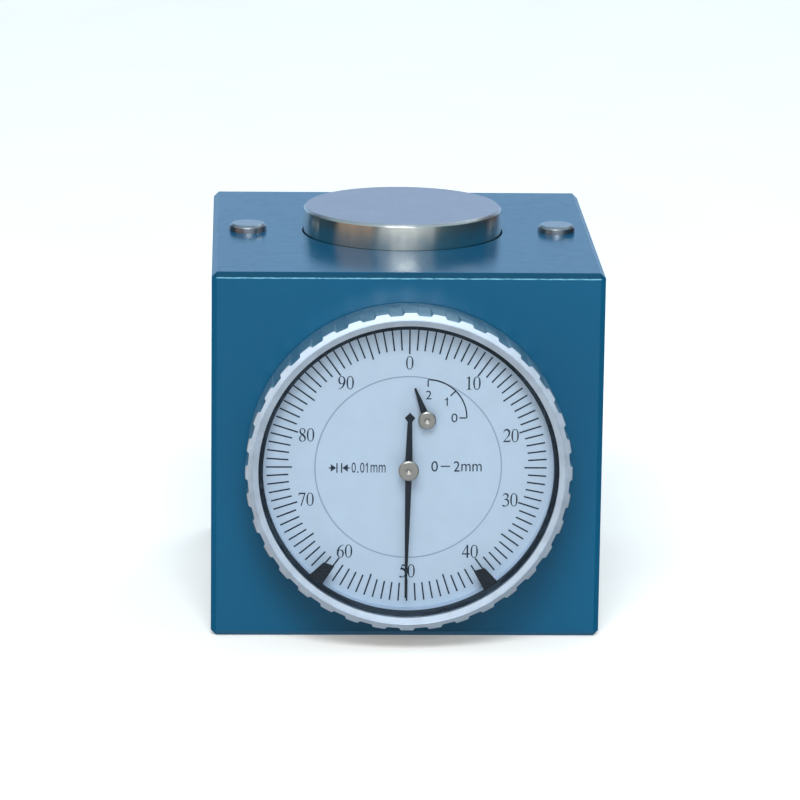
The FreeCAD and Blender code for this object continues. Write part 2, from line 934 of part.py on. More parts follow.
def dial_posts():
    """Three posts that hold the dial carrier off the front plate."""
    posts = []
    for x, y in ring_points("pillar_ring", POST_ANGLES):
        post = turned(
            "dial_post",
            [
                ("0", "front_plate_back"),
                ("stud_radius", "front_plate_back"),
                ("stud_radius", "front_plate_front"),
                ("pillar_radius", "front_plate_front"),
                ("pillar_radius", "dial_face - 1.5"),
                ("stud_radius", "dial_face - 1.5"),
                ("stud_radius", "dial_face - 0.95"),
                ("0", "dial_face - 0.95"),
            ],
        )
        posts.append(put_front(post, x, y))
    return group("dial_posts", posts)


def inner_dial():
    dial = new_body("inner_dial")
    face = draw_circle(new_sketch(dial, offset="dial_face - dial_thickness"), "0", "0", "inner_dial_radius")
    pad(dial, face, "dial_thickness")
    holes = new_sketch(dial, offset="dial_face + 1")
    draw_circle(holes, "0", "0", "bushing_radius")
    draw_circle(holes, "small_axis_x", "small_axis_y", "bushing_radius - 0.1")
    pocket(dial, holes, "2")
    return keep(put_front(dial), "inner_dial")


def bezel_spring():
    """Wire ring shared by the grooves of the case rim and the bezel: it keeps the bezel on."""
    ring = doc.addObject("Part::Torus", "bezel_wire")
    bind(ring, "Radius1", "case_rim_radius + 0.01")
    ring.Radius2 = 0.25
    return keep(put_front(ring, out="2.2"), "bezel_spring")


def bezel():
    """Flared rim: narrow lobes between scallops that fade out towards the back, and a ridge round its front."""
    ring = new_body("bezel")
    turn_about_axis(
        ring,
        [
            ("bezel_back_radius", "bezel_gap"),
            ("bezel_radius", "bezel_front - bezel_edge_break"),
            ("bezel_radius - bezel_edge_break", "bezel_front"),
            ("bezel_ridge_radius + bezel_ridge_line", "bezel_ridge_front"),
            ("bezel_ridge_radius", "bezel_ridge_front - bezel_ridge_line"),
            ("bezel_ridge_radius - bezel_ridge_line", "bezel_ridge_front"),
            ("window_radius", "bezel_lip_front"),
            ("window_radius", "seal_back"),
            ("seal_inner_radius", "seal_back"),
            ("seal_inner_radius", "dial_face"),
            ("bezel_bore", "dial_face"),
            ("bezel_bore", "spring_groove_front"),
            ("bezel_bore + spring_groove_depth", "spring_groove_front"),
            ("bezel_bore + spring_groove_depth", "spring_groove_back"),
            ("bezel_bore", "spring_groove_back"),
            ("bezel_bore", "bezel_gap"),
        ],
    )
    outline = draw_outline(
        new_sketch(ring, offset="bezel_ridge_front"),
        [
            ("scallop_floor", "-scallop_floor_half"),
            ("scallop_mouth", "-scallop_mouth_half"),
            ("scallop_mouth", "scallop_mouth_half"),
            ("scallop_floor", "scallop_floor_half"),
        ],
    )
    lean = (size("bezel_back_radius") - size("scallop_floor")) / size("bezel_ridge_front")
    scallop = pocket(ring, outline, "bezel_ridge_front + 1", Vector(lean, 0, -1))
    repeat_round(ring, scallop, "lobe_count")
    half_lobe = 180 / size("lobe_count")
    return keep(put_front(ring, turn=half_lobe), "bezel")


def crystal_seal():
    """Black ring under the crystal, with a groove inside it that carries the limit hands."""
    return keep(
        put_front(
            turned(
                "crystal_seal",
                [
                    ("seal_inner_radius", "seal_back"),
                    ("seal_outer_radius", "seal_back"),
                    ("seal_outer_radius", "seal_front"),
                    ("seal_inner_radius", "seal_front"),
                    ("seal_inner_radius", "seal_groove_front"),
                    ("seal_groove_radius", "seal_groove_front"),
                    ("seal_groove_radius", "seal_groove_back"),
                    ("seal_inner_radius", "seal_groove_back"),
                ],
            )
        ),
        "crystal_seal",
    )


def crystal():
    return keep(
        put_front(
            turned(
                "crystal",
                [
                    ("0", "seal_front"),
                    ("crystal_radius", "seal_front"),
                    ("crystal_radius", "crystal_front - crystal_edge_break"),
                    ("crystal_radius - crystal_edge_break", "crystal_front"),
                    ("0", "crystal_front"),
                ],
            )
        ),
        "crystal",
    )


def flat_ring(name, inner, outer, low, high):
    body = turned(name, [(inner, low), (outer, low), (outer, high), (inner, high)])
    return keep(put_front(body), name)


def limit_hand(name, reading, lean):
    """A black tab with a shoe that slides in the seal's groove. Its inner end is cut on a slant."""
    hand = new_body(name)
    tab = new_sketch(hand, offset="limit_hand_plane")
    inner_right = "limit_hand_inner" if lean > 0 else "limit_hand_inner + 0.5"
    inner_left = "limit_hand_inner + 0.5" if lean > 0 else "limit_hand_inner"
    draw_outline(
        tab,
        [("-0.7", inner_left), ("0.7", inner_right), ("1.06", "18.95"), ("-1.06", "18.95")],
    )
    pad(hand, tab, "limit_hand_thickness")
    shoe = new_sketch(hand, offset="limit_hand_plane")
    draw_outline(
        shoe,
        [
            ("-1.06", "18.7"),
            ("1.06", "18.7"),
            ("1.06", "seal_outer_radius - 0.25"),
            ("-1.06", "seal_outer_radius - 0.25"),
        ],
    )
    pad(hand, shoe, "limit_hand_thickness")
    return keep(put_front(hand, turn=-reading * TURN_PER_DIVISION), name)


# ---- movement wheels and hands ------------------------------------------------------------------------


def cut_teeth(body, teeth, pitch_radius, thickness_low, thickness_high):
    """Cuts tooth gaps round a blank. The first gap is centred on the body's own x axis."""
    count = size(teeth)
    module = 2 * pitch_radius / count
    gap_half = (1 - TOOTH_SHARE) * math.pi * module / 2
    root, tip = pitch_radius - module, pitch_radius + 0.85 * module
    at_root, at_tip = gap_half - module * FLANK_SLOPE, gap_half + 0.85 * module * FLANK_SLOPE
    gap = new_sketch(body, offset=f"({thickness_high}) + 0.1")
    draw_outline(
        gap,
        [
            (str(root), str(-at_root)),
            (str(tip), str(-at_tip)),
            (str(tip), str(at_tip)),
            (str(root), str(at_root)),
        ],
    )
    first = pocket(body, gap, f"({thickness_high}) - ({thickness_low}) + 0.2")
    return repeat_round(body, first, teeth)


def centre_distance():
    return math.hypot(size("small_axis_x"), size("small_axis_y"))


def wheel_radius():
    share = size("wheel_teeth") / (size("wheel_teeth") + size("pinion_teeth"))
    return centre_distance() * share


def pinion_radius():
    return centre_distance() - wheel_radius()


def rack_pinion_radius():
    return size("rack_pinion_teeth") * size("rack_pitch") / (2 * math.pi)


def small_axis_direction():
    """Direction of the small pointer's axis from the dial's centre, in degrees."""
    return math.degrees(math.atan2(size("small_axis_y"), size("small_axis_x")))


def takeup_direction():
    return math.degrees(math.atan2(size("takeup_axis_y"), size("takeup_axis_x")))


def wheel_pitch_angle():
    return 360 / size("wheel_teeth")


def pinion_pitch_angle():
    return 360 / size("pinion_teeth")


def rack_pinion_arbor():
    """Arbor of the small pointer, with the 16-leaf pinion that the rack turns. A gap faces the rack."""
    arbor = new_body("rack_pinion_arbor")
    tip = rack_pinion_radius() + 0.8 * 2 * rack_pinion_radius() / size("rack_pinion_teeth")
    turn_about_axis(
        arbor,
        [
            ("0", "-bore_depth + 0.1"),
            ("journal_radius", "-bore_depth + 0.1"),
            ("journal_radius", "case_floor + 0.05"),
            (str(tip), "case_floor + 0.05"),
            (str(tip), "back_plate_back - 0.2"),
            ("journal_radius", "back_plate_back - 0.2"),
            ("journal_radius", "small_pointer_back - slip"),
            ("0", "small_pointer_back - slip"),
        ],
    )
    cut_teeth(arbor, "rack_pinion_teeth", rack_pinion_radius(), "case_floor", "back_plate_back - 0.2")
    return keep(put_front(arbor, "small_axis_x", "small_axis_y"), "rack_pinion_arbor")


def toothed_wheel(name, low, high, x, y, turn):
    """A brass wheel of 80 teeth with a hub and three windows between its spokes."""
    wheel = new_body(name)
    pitch_radius = wheel_radius()
    tip = pitch_radius + 0.8 * 2 * pitch_radius / size("wheel_teeth")
    hub = "bushing_radius + 0.2"
    turn_about_axis(
        wheel,
        [
            ("journal_radius + slip / 2", low),
            (str(tip), low),
            (str(tip), high),
            (hub, high),
            (hub, f"({high}) + 0.3"),
            ("journal_radius + slip / 2", f"({high}) + 0.3"),
        ],
    )
    windows = new_sketch(wheel, offset=f"({high}) + 0.1")
    for window_x, window_y in ring_points(f"{0.56 * pitch_radius}", (30, 150, 270)):
        draw_circle(windows, window_x, window_y, f"{0.26 * pitch_radius}")
    pocket(wheel, windows, f"({high}) - ({low}) + 0.2")
    cut_teeth(wheel, "wheel_teeth", pitch_radius, low, high)
    return keep(put_front(wheel, x, y, turn), name)


def drive_gear():
    """Wheel on the small pointer's arbor. A tooth of it points at the centre pinion."""
    turn = small_axis_direction() + 180 + wheel_pitch_angle() / 2
    return toothed_wheel("drive_gear", "-5.6", "-5", "small_axis_x", "small_axis_y", turn)


def takeup_gear():
    """Wheel that takes up the backlash. Its phase follows the centre pinion's."""
    lead = (small_axis_direction() - takeup_direction()) % pinion_pitch_angle()
    turn = takeup_direction() + 180 - lead / 8 + wheel_pitch_angle() / 2
    return toothed_wheel("takeup_gear", "-4.6", "-4", "takeup_axis_x", "takeup_axis_y", turn)


def centre_pinion_arbor():
    """Arbor of the main pointer with its 10-leaf pinion. A gap faces the drive gear's axis."""
    arbor = new_body("centre_pinion_arbor")
    tip = pinion_radius() + 0.8 * 2 * pinion_radius() / size("pinion_teeth")
    turn_about_axis(
        arbor,
        [
            ("0", "back_plate_back + 0.1"),
            ("journal_radius", "back_plate_back + 0.1"),
            ("journal_radius", "-6.6"),
            (str(tip), "-6.6"),
            (str(tip), "-3.6"),
            ("journal_radius", "-3.6"),
            ("journal_radius", "main_pointer_back - slip"),
            ("0", "main_pointer_back - slip"),
        ],
    )
    cut_teeth(arbor, "pinion_teeth", pinion_radius(), "-6.6", "-3.6")
    return keep(put_front(arbor, turn=small_axis_direction()), "centre_pinion_arbor")


def takeup_arbor():
    """Arbor of the take-up wheel, with the collet of the hairspring."""
    arbor = turned(
        "takeup_arbor",
        [
            ("0", "back_plate_back + 0.1"),
            ("journal_radius", "back_plate_back + 0.1"),
            ("journal_radius", "-3.2"),
            ("0.95", "-3.2"),
            ("0.95", "-2.2"),
            ("journal_radius", "-2.2"),
            ("journal_radius", "front_plate_front - 0.1"),
            ("0", "front_plate_front - 0.1"),
        ],
    )
    return keep(put_front(arbor, "takeup_axis_x", "takeup_axis_y"), "takeup_arbor")


HAIRSPRING_START = 1.0
HAIRSPRING_STEP = 0.7
HAIRSPRING_TURNS = 5
HAIRSPRING_STRIP = 0.08


def hairspring():
    """Flat spiral of half-circles whose centres alternate, so each half-turn is wider than the last."""
    half = HAIRSPRING_STRIP / 2
    edges = {-half: [], half: []}
    for turn in range(2 * HAIRSPRING_TURNS):
        side = 1 if turn % 2 == 0 else -1
        radius = HAIRSPRING_START + turn * HAIRSPRING_STEP / 2
        centre = 0 if side == 1 else HAIRSPRING_STEP / 2
        for offset in edges:
            start = Vector(centre + side * (radius + offset), 0, 0)
            middle = Vector(centre, side * (radius + offset), 0)
            end = Vector(centre - side * (radius + offset), 0, 0)
            edges[offset].append(Part.Arc(start, middle, end).toShape())
    inner, outer = edges[-half], edges[half]
    caps = [
        Part.makeLine(inner[0].firstVertex().Point, outer[0].firstVertex().Point),
        Part.makeLine(inner[-1].lastVertex().Point, outer[-1].lastVertex().Point),
    ]
    face = Part.Face(Part.Wire(Part.__sortEdges__(inner + outer + caps)))
    spring = doc.addObject("Part::Feature", "hairspring_strip")
    spring.Shape = face.extrude(Vector(0, 0, 0.5))
    put_front(spring, "takeup_axis_x", "takeup_axis_y", out="-3")
    return keep(spring, "hairspring")


def hairspring_stud():
    """Stud on the front plate that holds the hairspring's outer end."""
    end = HAIRSPRING_START + HAIRSPRING_STEP * HAIRSPRING_TURNS
    return keep(
        front_rod(
            "spring_stud",
            f"takeup_axis_x + {end}",
            "takeup_axis_y + stud_radius + slip",
            "-3.2",
            "front_plate_back",
            "stud_radius",
        ),
        "hairspring_stud",
    )


def main_pointer():
    """Long hand with a tapered blade and a diamond at the end of its tail."""
    hand = new_body("main_pointer")
    blade = new_sketch(hand, offset="main_pointer_back")
    draw_outline(
        blade,
        [
            ("-0.3", "-main_tail_length + 1.2"),
            ("-0.68", "-main_tail_length + 0.7"),
            ("0", "-main_tail_length"),
            ("0.68", "-main_tail_length + 0.7"),
            ("0.3", "-main_tail_length + 1.2"),
            ("0.48", "-1"),
            ("0.43", "1"),
            ("0.12", "main_pointer_length"),
            ("-0.12", "main_pointer_length"),
            ("-0.43", "1"),
            ("-0.48", "-1"),
        ],
    )
    draw_circle(blade, "0", "0", "rivet_radius")
    pad(hand, blade, "pointer_thickness")
    return keep(put_front(hand, turn=-MAIN_READING * TURN_PER_DIVISION), "main_pointer")


def small_pointer():
    hand = new_body("small_pointer")
    blade = new_sketch(hand, offset="small_pointer_back")
    draw_outline(
        blade,
        [
            ("-0.5", "-1"),
            ("0.5", "-1"),
            ("0.46", "1"),
            ("0.13", "small_pointer_length"),
            ("-0.13", "small_pointer_length"),
            ("-0.46", "1"),
        ],
    )
    draw_circle(blade, "0", "0", "rivet_radius")
    pad(hand, blade, "pointer_thickness")
    turn = SMALL_POINTER_ANGLE - 90
    return keep(put_front(hand, "small_axis_x", "small_axis_y", turn), "small_pointer")


def pointer_hub(name, x, y, radius, plane, front):
    """Nickel cap on an arbor's end. It clamps the hand from both sides and has a dimple in front."""
    body = turned(
        name + "_blank",
        [
            ("journal_radius + slip / 2", f"{plane} - 0.5"),
            ("0.75", f"{plane} - 0.5"),
            ("0.75", plane),
            (radius, plane),
            (radius, f"{front} - 0.12"),
            (f"{radius} - 0.15", front),
            ("0.45", front),
            ("0", f"{front} - 0.12"),
            ("0", plane),
            ("journal_radius + slip / 2", plane),
        ],
    )
    return put_front(body, x, y)


def hub_round_hand(name, hand, x, y, radius, plane, front):
    """A pointer's hub, hollowed where the hand passes through it."""
    return keep(cut(name + "_cut", pointer_hub(name, x, y, radius, plane, front), [hand]), name)


# ---- assembly -----------------------------------------------------------------------------------------


def build_assembly():
    block_body()
    reference_pins()
    guide_bush()
    anti_rotation_pin()
    base_plate()
    base_plate_screws()
    magnets()
    spring_seat()
    return_spring()
    anvil_disc()
    plunger_stem()
    stop_collar()
    rack_arm()
    arm_screw()
    rack_bar()
    rack_screws()
    dial_case()
    case_screws()
    studs = ring_points("pillar_ring", PILLAR_ANGLES)
    movement_plate("movement_back_plate", "back_plate_back", "back_plate_front", studs)
    posts = ring_points("pillar_ring", POST_ANGLES)
    movement_plate("movement_front_plate", "front_plate_back", "front_plate_front", studs + posts)
    movement_pillars()
    movement_screws()
    arbor_bushings()
    dial_carrier()
    dial_posts()
    inner_dial()
    bezel_spring()
    bezel()
    crystal_seal()
    crystal()
    back, face = "dial_face - dial_thickness", "dial_face"
    flat_ring("scale_ring", "scale_inner_radius", "scale_outer_radius", back, face)
    flat_ring("scale_retaining_ring", "scale_outer_radius - 0.7", "scale_outer_radius", f"{back} - 0.4", back)
    limit_hand("limit_hand_left", LEFT_LIMIT_READING, -1)
    limit_hand("limit_hand_right", RIGHT_LIMIT_READING, 1)
    rack_pinion_arbor()
    drive_gear()
    centre_pinion_arbor()
    takeup_arbor()
    takeup_gear()
    hairspring()
    hairspring_stud()
    centre_hand = main_pointer()
    hub_round_hand(
        "main_pointer_hub", centre_hand, "0", "0", "main_hub_radius", "main_pointer_back", "main_hub_front"
    )
    small_hand = small_pointer()
    hub_round_hand(
        "small_pointer_hub",
        small_hand,
        "small_axis_x",
        "small_axis_y",
        "small_hub_radius",
        "small_pointer_back",
        "small_hub_front",
    )


def check_document():
    doc.recompute()
    failed = [item.Name for item in doc.Objects if {"Invalid", "Error"} & set(item.State)]
    for item in subparts:
        shape = item.Shape
        if shape.isNull() or not shape.isValid() or not shape.Solids or shape.Volume <= 0:
            failed.append(item.Label)
    if failed:
        raise RuntimeError("not built: " + ", ".join(failed))


def write_parts():
    os.makedirs("parts", exist_ok=True)
    for item in subparts:
        item.Shape.exportStep(f"parts/{item.Label}.step")
        print(f"{item.Label}: {len(item.Shape.Solids)} solids, {item.Shape.Volume:.3f} mm3")


build_assembly()
check_document()
write_parts()
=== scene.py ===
"""Looks of the dial zero setter: studio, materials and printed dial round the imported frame.

Metres. +Z is up and the dial faces -Y. Dial artwork is drawn flat in millimetres, x right and y up from the
dial's axis, and then stood up on the dial's face.
"""

import json
import math

import bmesh
import bpy
from mathutils import Matrix, Vector


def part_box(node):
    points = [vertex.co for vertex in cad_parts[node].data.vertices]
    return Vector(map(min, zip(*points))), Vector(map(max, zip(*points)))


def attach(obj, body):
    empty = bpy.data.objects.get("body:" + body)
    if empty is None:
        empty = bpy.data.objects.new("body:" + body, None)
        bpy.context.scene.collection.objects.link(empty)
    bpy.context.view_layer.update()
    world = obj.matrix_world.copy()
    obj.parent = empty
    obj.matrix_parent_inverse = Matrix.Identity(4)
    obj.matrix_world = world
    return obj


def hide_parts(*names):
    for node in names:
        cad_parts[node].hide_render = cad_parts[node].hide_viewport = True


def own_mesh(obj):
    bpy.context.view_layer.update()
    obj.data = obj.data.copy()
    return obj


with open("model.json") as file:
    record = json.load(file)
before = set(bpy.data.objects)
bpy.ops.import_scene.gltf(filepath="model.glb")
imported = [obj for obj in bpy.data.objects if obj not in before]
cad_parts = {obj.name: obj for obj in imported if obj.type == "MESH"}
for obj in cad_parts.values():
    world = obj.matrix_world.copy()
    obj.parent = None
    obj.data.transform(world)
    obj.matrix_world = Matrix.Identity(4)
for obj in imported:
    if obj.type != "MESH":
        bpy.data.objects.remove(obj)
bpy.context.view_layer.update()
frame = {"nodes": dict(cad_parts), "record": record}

MM = 0.001
SAME_POINT = 0.0005 * MM
TURN = 2 * math.pi

# ---- places read from the frame ------------------------------------------------------------------------

BLOCK_LOW, BLOCK_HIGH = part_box("block_body")
CRYSTAL_LOW, CRYSTAL_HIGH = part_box("crystal")
DIAL_X = (CRYSTAL_LOW.x + CRYSTAL_HIGH.x) / 2
DIAL_Z = (CRYSTAL_LOW.z + CRYSTAL_HIGH.z) / 2
FRONT_Y = BLOCK_LOW.y
DIAL_FACE_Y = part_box("inner_dial")[0].y
SMALL_LOW, SMALL_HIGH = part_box("small_pointer_hub")
SMALL_X = (SMALL_LOW.x + SMALL_HIGH.x) / 2 - DIAL_X
SMALL_Y = (SMALL_LOW.z + SMALL_HIGH.z) / 2 - DIAL_Z


# ---- studio --------------------------------------------------------------------------------------------


def add_camera():
    """A long lens from a little above and to the left of the dial."""
    down, aside, roll = math.radians(13.705), math.radians(2.107), math.radians(0.715)
    distance = 601.77 * MM
    aim = Vector((-1.02 * MM, FRONT_Y, 32.13 * MM))
    looking = Vector((math.sin(aside) * math.cos(down), math.cos(aside) * math.cos(down), -math.sin(down)))
    data = bpy.data.cameras.new("camera")
    data.lens = 207.75
    data.sensor_width = 36
    data.clip_start, data.clip_end = 0.01, 20
    camera = bpy.data.objects.new("camera", data)
    level = looking.to_track_quat("-Z", "Y").to_matrix()
    camera.matrix_world = Matrix.Translation(aim - distance * looking) @ (
        level @ Matrix.Rotation(roll, 3, "Z")
    ).to_4x4()
    bpy.context.scene.collection.objects.link(camera)
    bpy.context.scene.camera = camera


# Name, place, size, watts and colour.
SOFTBOXES = [
    ("key", (-0.08, -0.80, 0.88), (0.50, 0.36), 10.4, (0.86, 0.94, 1.0)),
    ("front", (0.05, -1.15, 0.62), (0.50, 0.12), 2.5, (0.90, 0.96, 1.0)),
    ("back", (0.50, 0.75, 1.10), (0.60, 0.40), 2.6, (0.86, 0.94, 1.0)),
]
SOFTBOX_TARGET = Vector((0, 0, 0.03))


def add_softbox(name, place, size, watts, colour):
    """A rectangular area light at place, pointing at the object."""
    data = bpy.data.lights.new(name, "AREA")
    data.shape = "RECTANGLE"
    data.size, data.size_y = size
    data.energy = watts
    data.color = colour
    lamp = bpy.data.objects.new(name, data)
    lamp.location = place
    lamp.rotation_euler = (SOFTBOX_TARGET - Vector(place)).to_track_quat("-Z", "Y").to_euler()
    bpy.context.scene.collection.objects.link(lamp)


# Radiance near the horizon by heading, in degrees clockwise from the front seen from above.
HORIZON = [
    (0, (0.63, 0.71, 0.78)),
    (30, (0.61, 0.69, 0.76)),
    (35, (0.11, 0.12, 0.12)),
    (40, (0.44, 0.34, 0.25)),
    (82, (0.46, 0.35, 0.26)),
    (88, (0.03, 0.05, 0.06)),
    (138, (0.06, 0.10, 0.13)),
    (150, (0.44, 0.68, 0.98)),
    (180, (0.50, 0.77, 1.10)),
    (210, (0.44, 0.68, 0.98)),
    (222, (0.12, 0.10, 0.10)),
    (242, (0.10, 0.09, 0.09)),
    (252, (0.03, 0.05, 0.07)),
    (288, (0.04, 0.06, 0.08)),
    (320, (0.08, 0.12, 0.13)),
    (331, (0.58, 0.66, 0.72)),
    (360, (0.63, 0.71, 0.78)),
]
ZENITH = (0.40, 0.58, 0.68)
# The panels give way to the zenith between these heights of a unit ray, and dim to BELOW under the horizon.
ZENITH_FROM, ZENITH_TO = 0.45, 0.75
DIM_FROM, DIM_TO = -0.30, 0.12
BELOW = 0.62


def add_world():
    """A soft room: even light above, panels and flags round the horizon."""
    world = bpy.data.worlds.new("room")
    world.use_nodes = True
    bpy.context.scene.world = world
    tree = world.node_tree
    background = tree.nodes["Background"]
    place = tree.nodes.new("ShaderNodeTexCoord")
    split = tree.nodes.new("ShaderNodeSeparateXYZ")
    tree.links.new(place.outputs["Generated"], split.inputs[0])
    heading = tree.nodes.new("ShaderNodeMath")
    heading.operation = "ARCTAN2"
    tree.links.new(split.outputs["X"], heading.inputs[0])
    tree.links.new(split.outputs["Y"], heading.inputs[1])
    turn = tree.nodes.new("ShaderNodeMapRange")
    turn.inputs["From Min"].default_value = -math.pi
    turn.inputs["From Max"].default_value = math.pi
    tree.links.new(heading.outputs[0], turn.inputs["Value"])
    panels = tree.nodes.new("ShaderNodeValToRGB")
    steps = panels.color_ramp.elements
    while len(steps) < len(HORIZON):
        steps.new(0.5)
    for step, (degrees, colour) in zip(steps, HORIZON):
        step.position = degrees / 360
        step.color = (*colour, 1)
    tree.links.new(turn.outputs["Result"], panels.inputs["Fac"])
    rise = tree.nodes.new("ShaderNodeMapRange")
    rise.interpolation_type = "SMOOTHSTEP"
    rise.inputs["From Min"].default_value = ZENITH_FROM
    rise.inputs["From Max"].default_value = ZENITH_TO
    tree.links.new(split.outputs["Z"], rise.inputs["Value"])
    blend = tree.nodes.new("ShaderNodeMix")
    blend.data_type = "RGBA"
    tree.links.new(rise.outputs["Result"], blend.inputs["Factor"])
    tree.links.new(panels.outputs["Color"], blend.inputs[6])
    blend.inputs[7].default_value = (*ZENITH, 1)
    tree.links.new(blend.outputs[2], background.inputs["Color"])
    sink = tree.nodes.new("ShaderNodeMapRange")
    sink.inputs["From Min"].default_value = DIM_FROM
    sink.inputs["From Max"].default_value = DIM_TO
    sink.inputs["To Min"].default_value = BELOW
    tree.links.new(split.outputs["Z"], sink.inputs["Value"])
    tree.links.new(sink.outputs["Result"], background.inputs["Strength"])


FLOOR_HALF = 3.0
FLOOR_DROP = 0.02 * MM
FLOOR_GLOW = 0.28


def add_floor():
    """A wide pale floor just under the object, left out of reflections so that metal shows the room."""
    mesh = bpy.data.meshes.new("floor")
    half = FLOOR_HALF
    corners = [(-half, -half, 0), (half, -half, 0), (half, half, 0), (-half, half, 0)]
    mesh.from_pydata(corners, [], [(0, 1, 2, 3)])
    floor = bpy.data.objects.new("floor", mesh)
    floor.location.z = -FLOOR_DROP
    finish = Finish("floor_paper", (0.90, 0.84, 0.78), 0.0, 0.75)
    finish.tint(finish.noise(30, 4), 0.02)
    finish.shader.inputs["Emission Color"].default_value = (1.0, 0.96, 0.92, 1)
    finish.shader.inputs["Emission Strength"].default_value = FLOOR_GLOW
    mesh.materials.append(finish.material)
    bpy.context.scene.collection.objects.link(floor)
    floor.visible_glossy = False


# ---- materials -----------------------------------------------------------------------------------------


class Finish:
    """A procedural material: constants on the shader's sockets, variation from noise in object space."""

    def __init__(self, name, colour, metallic, roughness, **sockets):
        self.material = bpy.data.materials.new(name)
        self.material.use_nodes = True
        self.tree = self.material.node_tree
        self.shader = self.tree.nodes["Principled BSDF"]
        self.colour = colour
        self.shader.inputs["Base Color"].default_value = (*colour, 1)
        self.shader.inputs["Metallic"].default_value = metallic
        self.shader.inputs["Roughness"].default_value = roughness
        for socket, value in sockets.items():
            self.shader.inputs[socket.replace("_", " ")].default_value = value
        self.place = self.node("ShaderNodeTexCoord").outputs["Object"]
        self.height = None

    def node(self, kind, **settings):
        made = self.tree.nodes.new(kind)
        for key, value in settings.items():
            setattr(made, key, value)
        return made

    def link(self, source, target):
        self.tree.links.new(source, target)

    def stretched(self, factors, centre=(0, 0, 0)):
        """Object space scaled by factors about centre."""
        mapping = self.node("ShaderNodeMapping")
        mapping.inputs["Scale"].default_value = factors
        mapping.inputs["Location"].default_value = [-c * f for c, f in zip(centre, factors)]
        self.link(self.place, mapping.inputs["Vector"])
        return mapping.outputs[0]

    def noise(self, scale, detail=3.0, vector=None, roughness=0.5):
        made = self.node("ShaderNodeTexNoise")
        made.inputs["Scale"].default_value = scale
        made.inputs["Detail"].default_value = detail
        made.inputs["Roughness"].default_value = roughness
        self.link(vector or self.place, made.inputs["Vector"])
        return made.outputs["Fac"]

    def radius(self, axis, centre):
        """Distance from an axis through centre, for turned pieces."""
        flat = [0.0 if letter == axis else 1.0 for letter in "XYZ"]
        length = self.node("ShaderNodeVectorMath", operation="LENGTH")
        self.link(self.stretched(flat, centre), length.inputs[0])
        return length.outputs["Value"]

    def maths(self, operation, first, second=None, third=None):
        made = self.node("ShaderNodeMath", operation=operation)
        for socket, value in zip(made.inputs, (first, second, third)):
            if value is None:
                continue
            if isinstance(value, (int, float)):
                socket.default_value = value
            else:
                self.link(value, socket)
        return made.outputs[0]

    def spread(self, value, low, high, to_low, to_high):
        """Maps value from one range to another, clamped."""
        made = self.node("ShaderNodeMapRange")
        for socket, number in zip(list(made.inputs)[1:5], (low, high, to_low, to_high)):
            socket.default_value = number
        self.link(value, made.inputs["Value"])
        return made.outputs["Result"]

    def tint(self, value, amount):
        """Lightens and darkens the base colour by amount as value goes from 0 to 1."""
        made = self.node("ShaderNodeMix", data_type="RGBA")
        made.inputs[6].default_value = [max(0.0, c * (1 - amount)) for c in self.colour] + [1]
        made.inputs[7].default_value = [min(1.0, c * (1 + amount)) for c in self.colour] + [1]
        self.link(self.spread(value, 0.3, 0.7, 0, 1), made.inputs["Factor"])
        self.link(made.outputs[2], self.shader.inputs["Base Color"])

    def cover(self, mask, colour):
        """Lays another colour over the base colour where mask is 1."""
        made = self.node("ShaderNodeMix", data_type="RGBA")
        self.link(self.shader.inputs["Base Color"].links[0].from_socket, made.inputs[6])
        made.inputs[7].default_value = (*colour, 1)
        self.link(mask, made.inputs["Factor"])
        self.link(made.outputs[2], self.shader.inputs["Base Color"])

    def shine(self, value, low, high):
        """Roughness from low to high as value goes from 0 to 1."""
        self.link(self.spread(value, 0.3, 0.7, low, high), self.shader.inputs["Roughness"])

    def bump(self, value, depth):
        """Raises the surface by value times depth, in metres, on top of earlier bumps."""
        made = self.node("ShaderNodeBump")
        made.inputs["Strength"].default_value = 1.0
        made.inputs["Distance"].default_value = depth
        self.link(value, made.inputs["Height"])
        if self.height is not None:
            self.link(self.height, made.inputs["Normal"])
        self.height = made.outputs[0]
        self.link(self.height, self.shader.inputs["Normal"])


CHAMFER = 0.7 * MM
# Width range and wander of the painted highlight line along the top chamfer's lower edge.
PAINTED_HIGHLIGHT_WIDTHS = (0.03 * MM, 0.10 * MM)
PAINTED_HIGHLIGHT_WANDER = 0.12 * MM


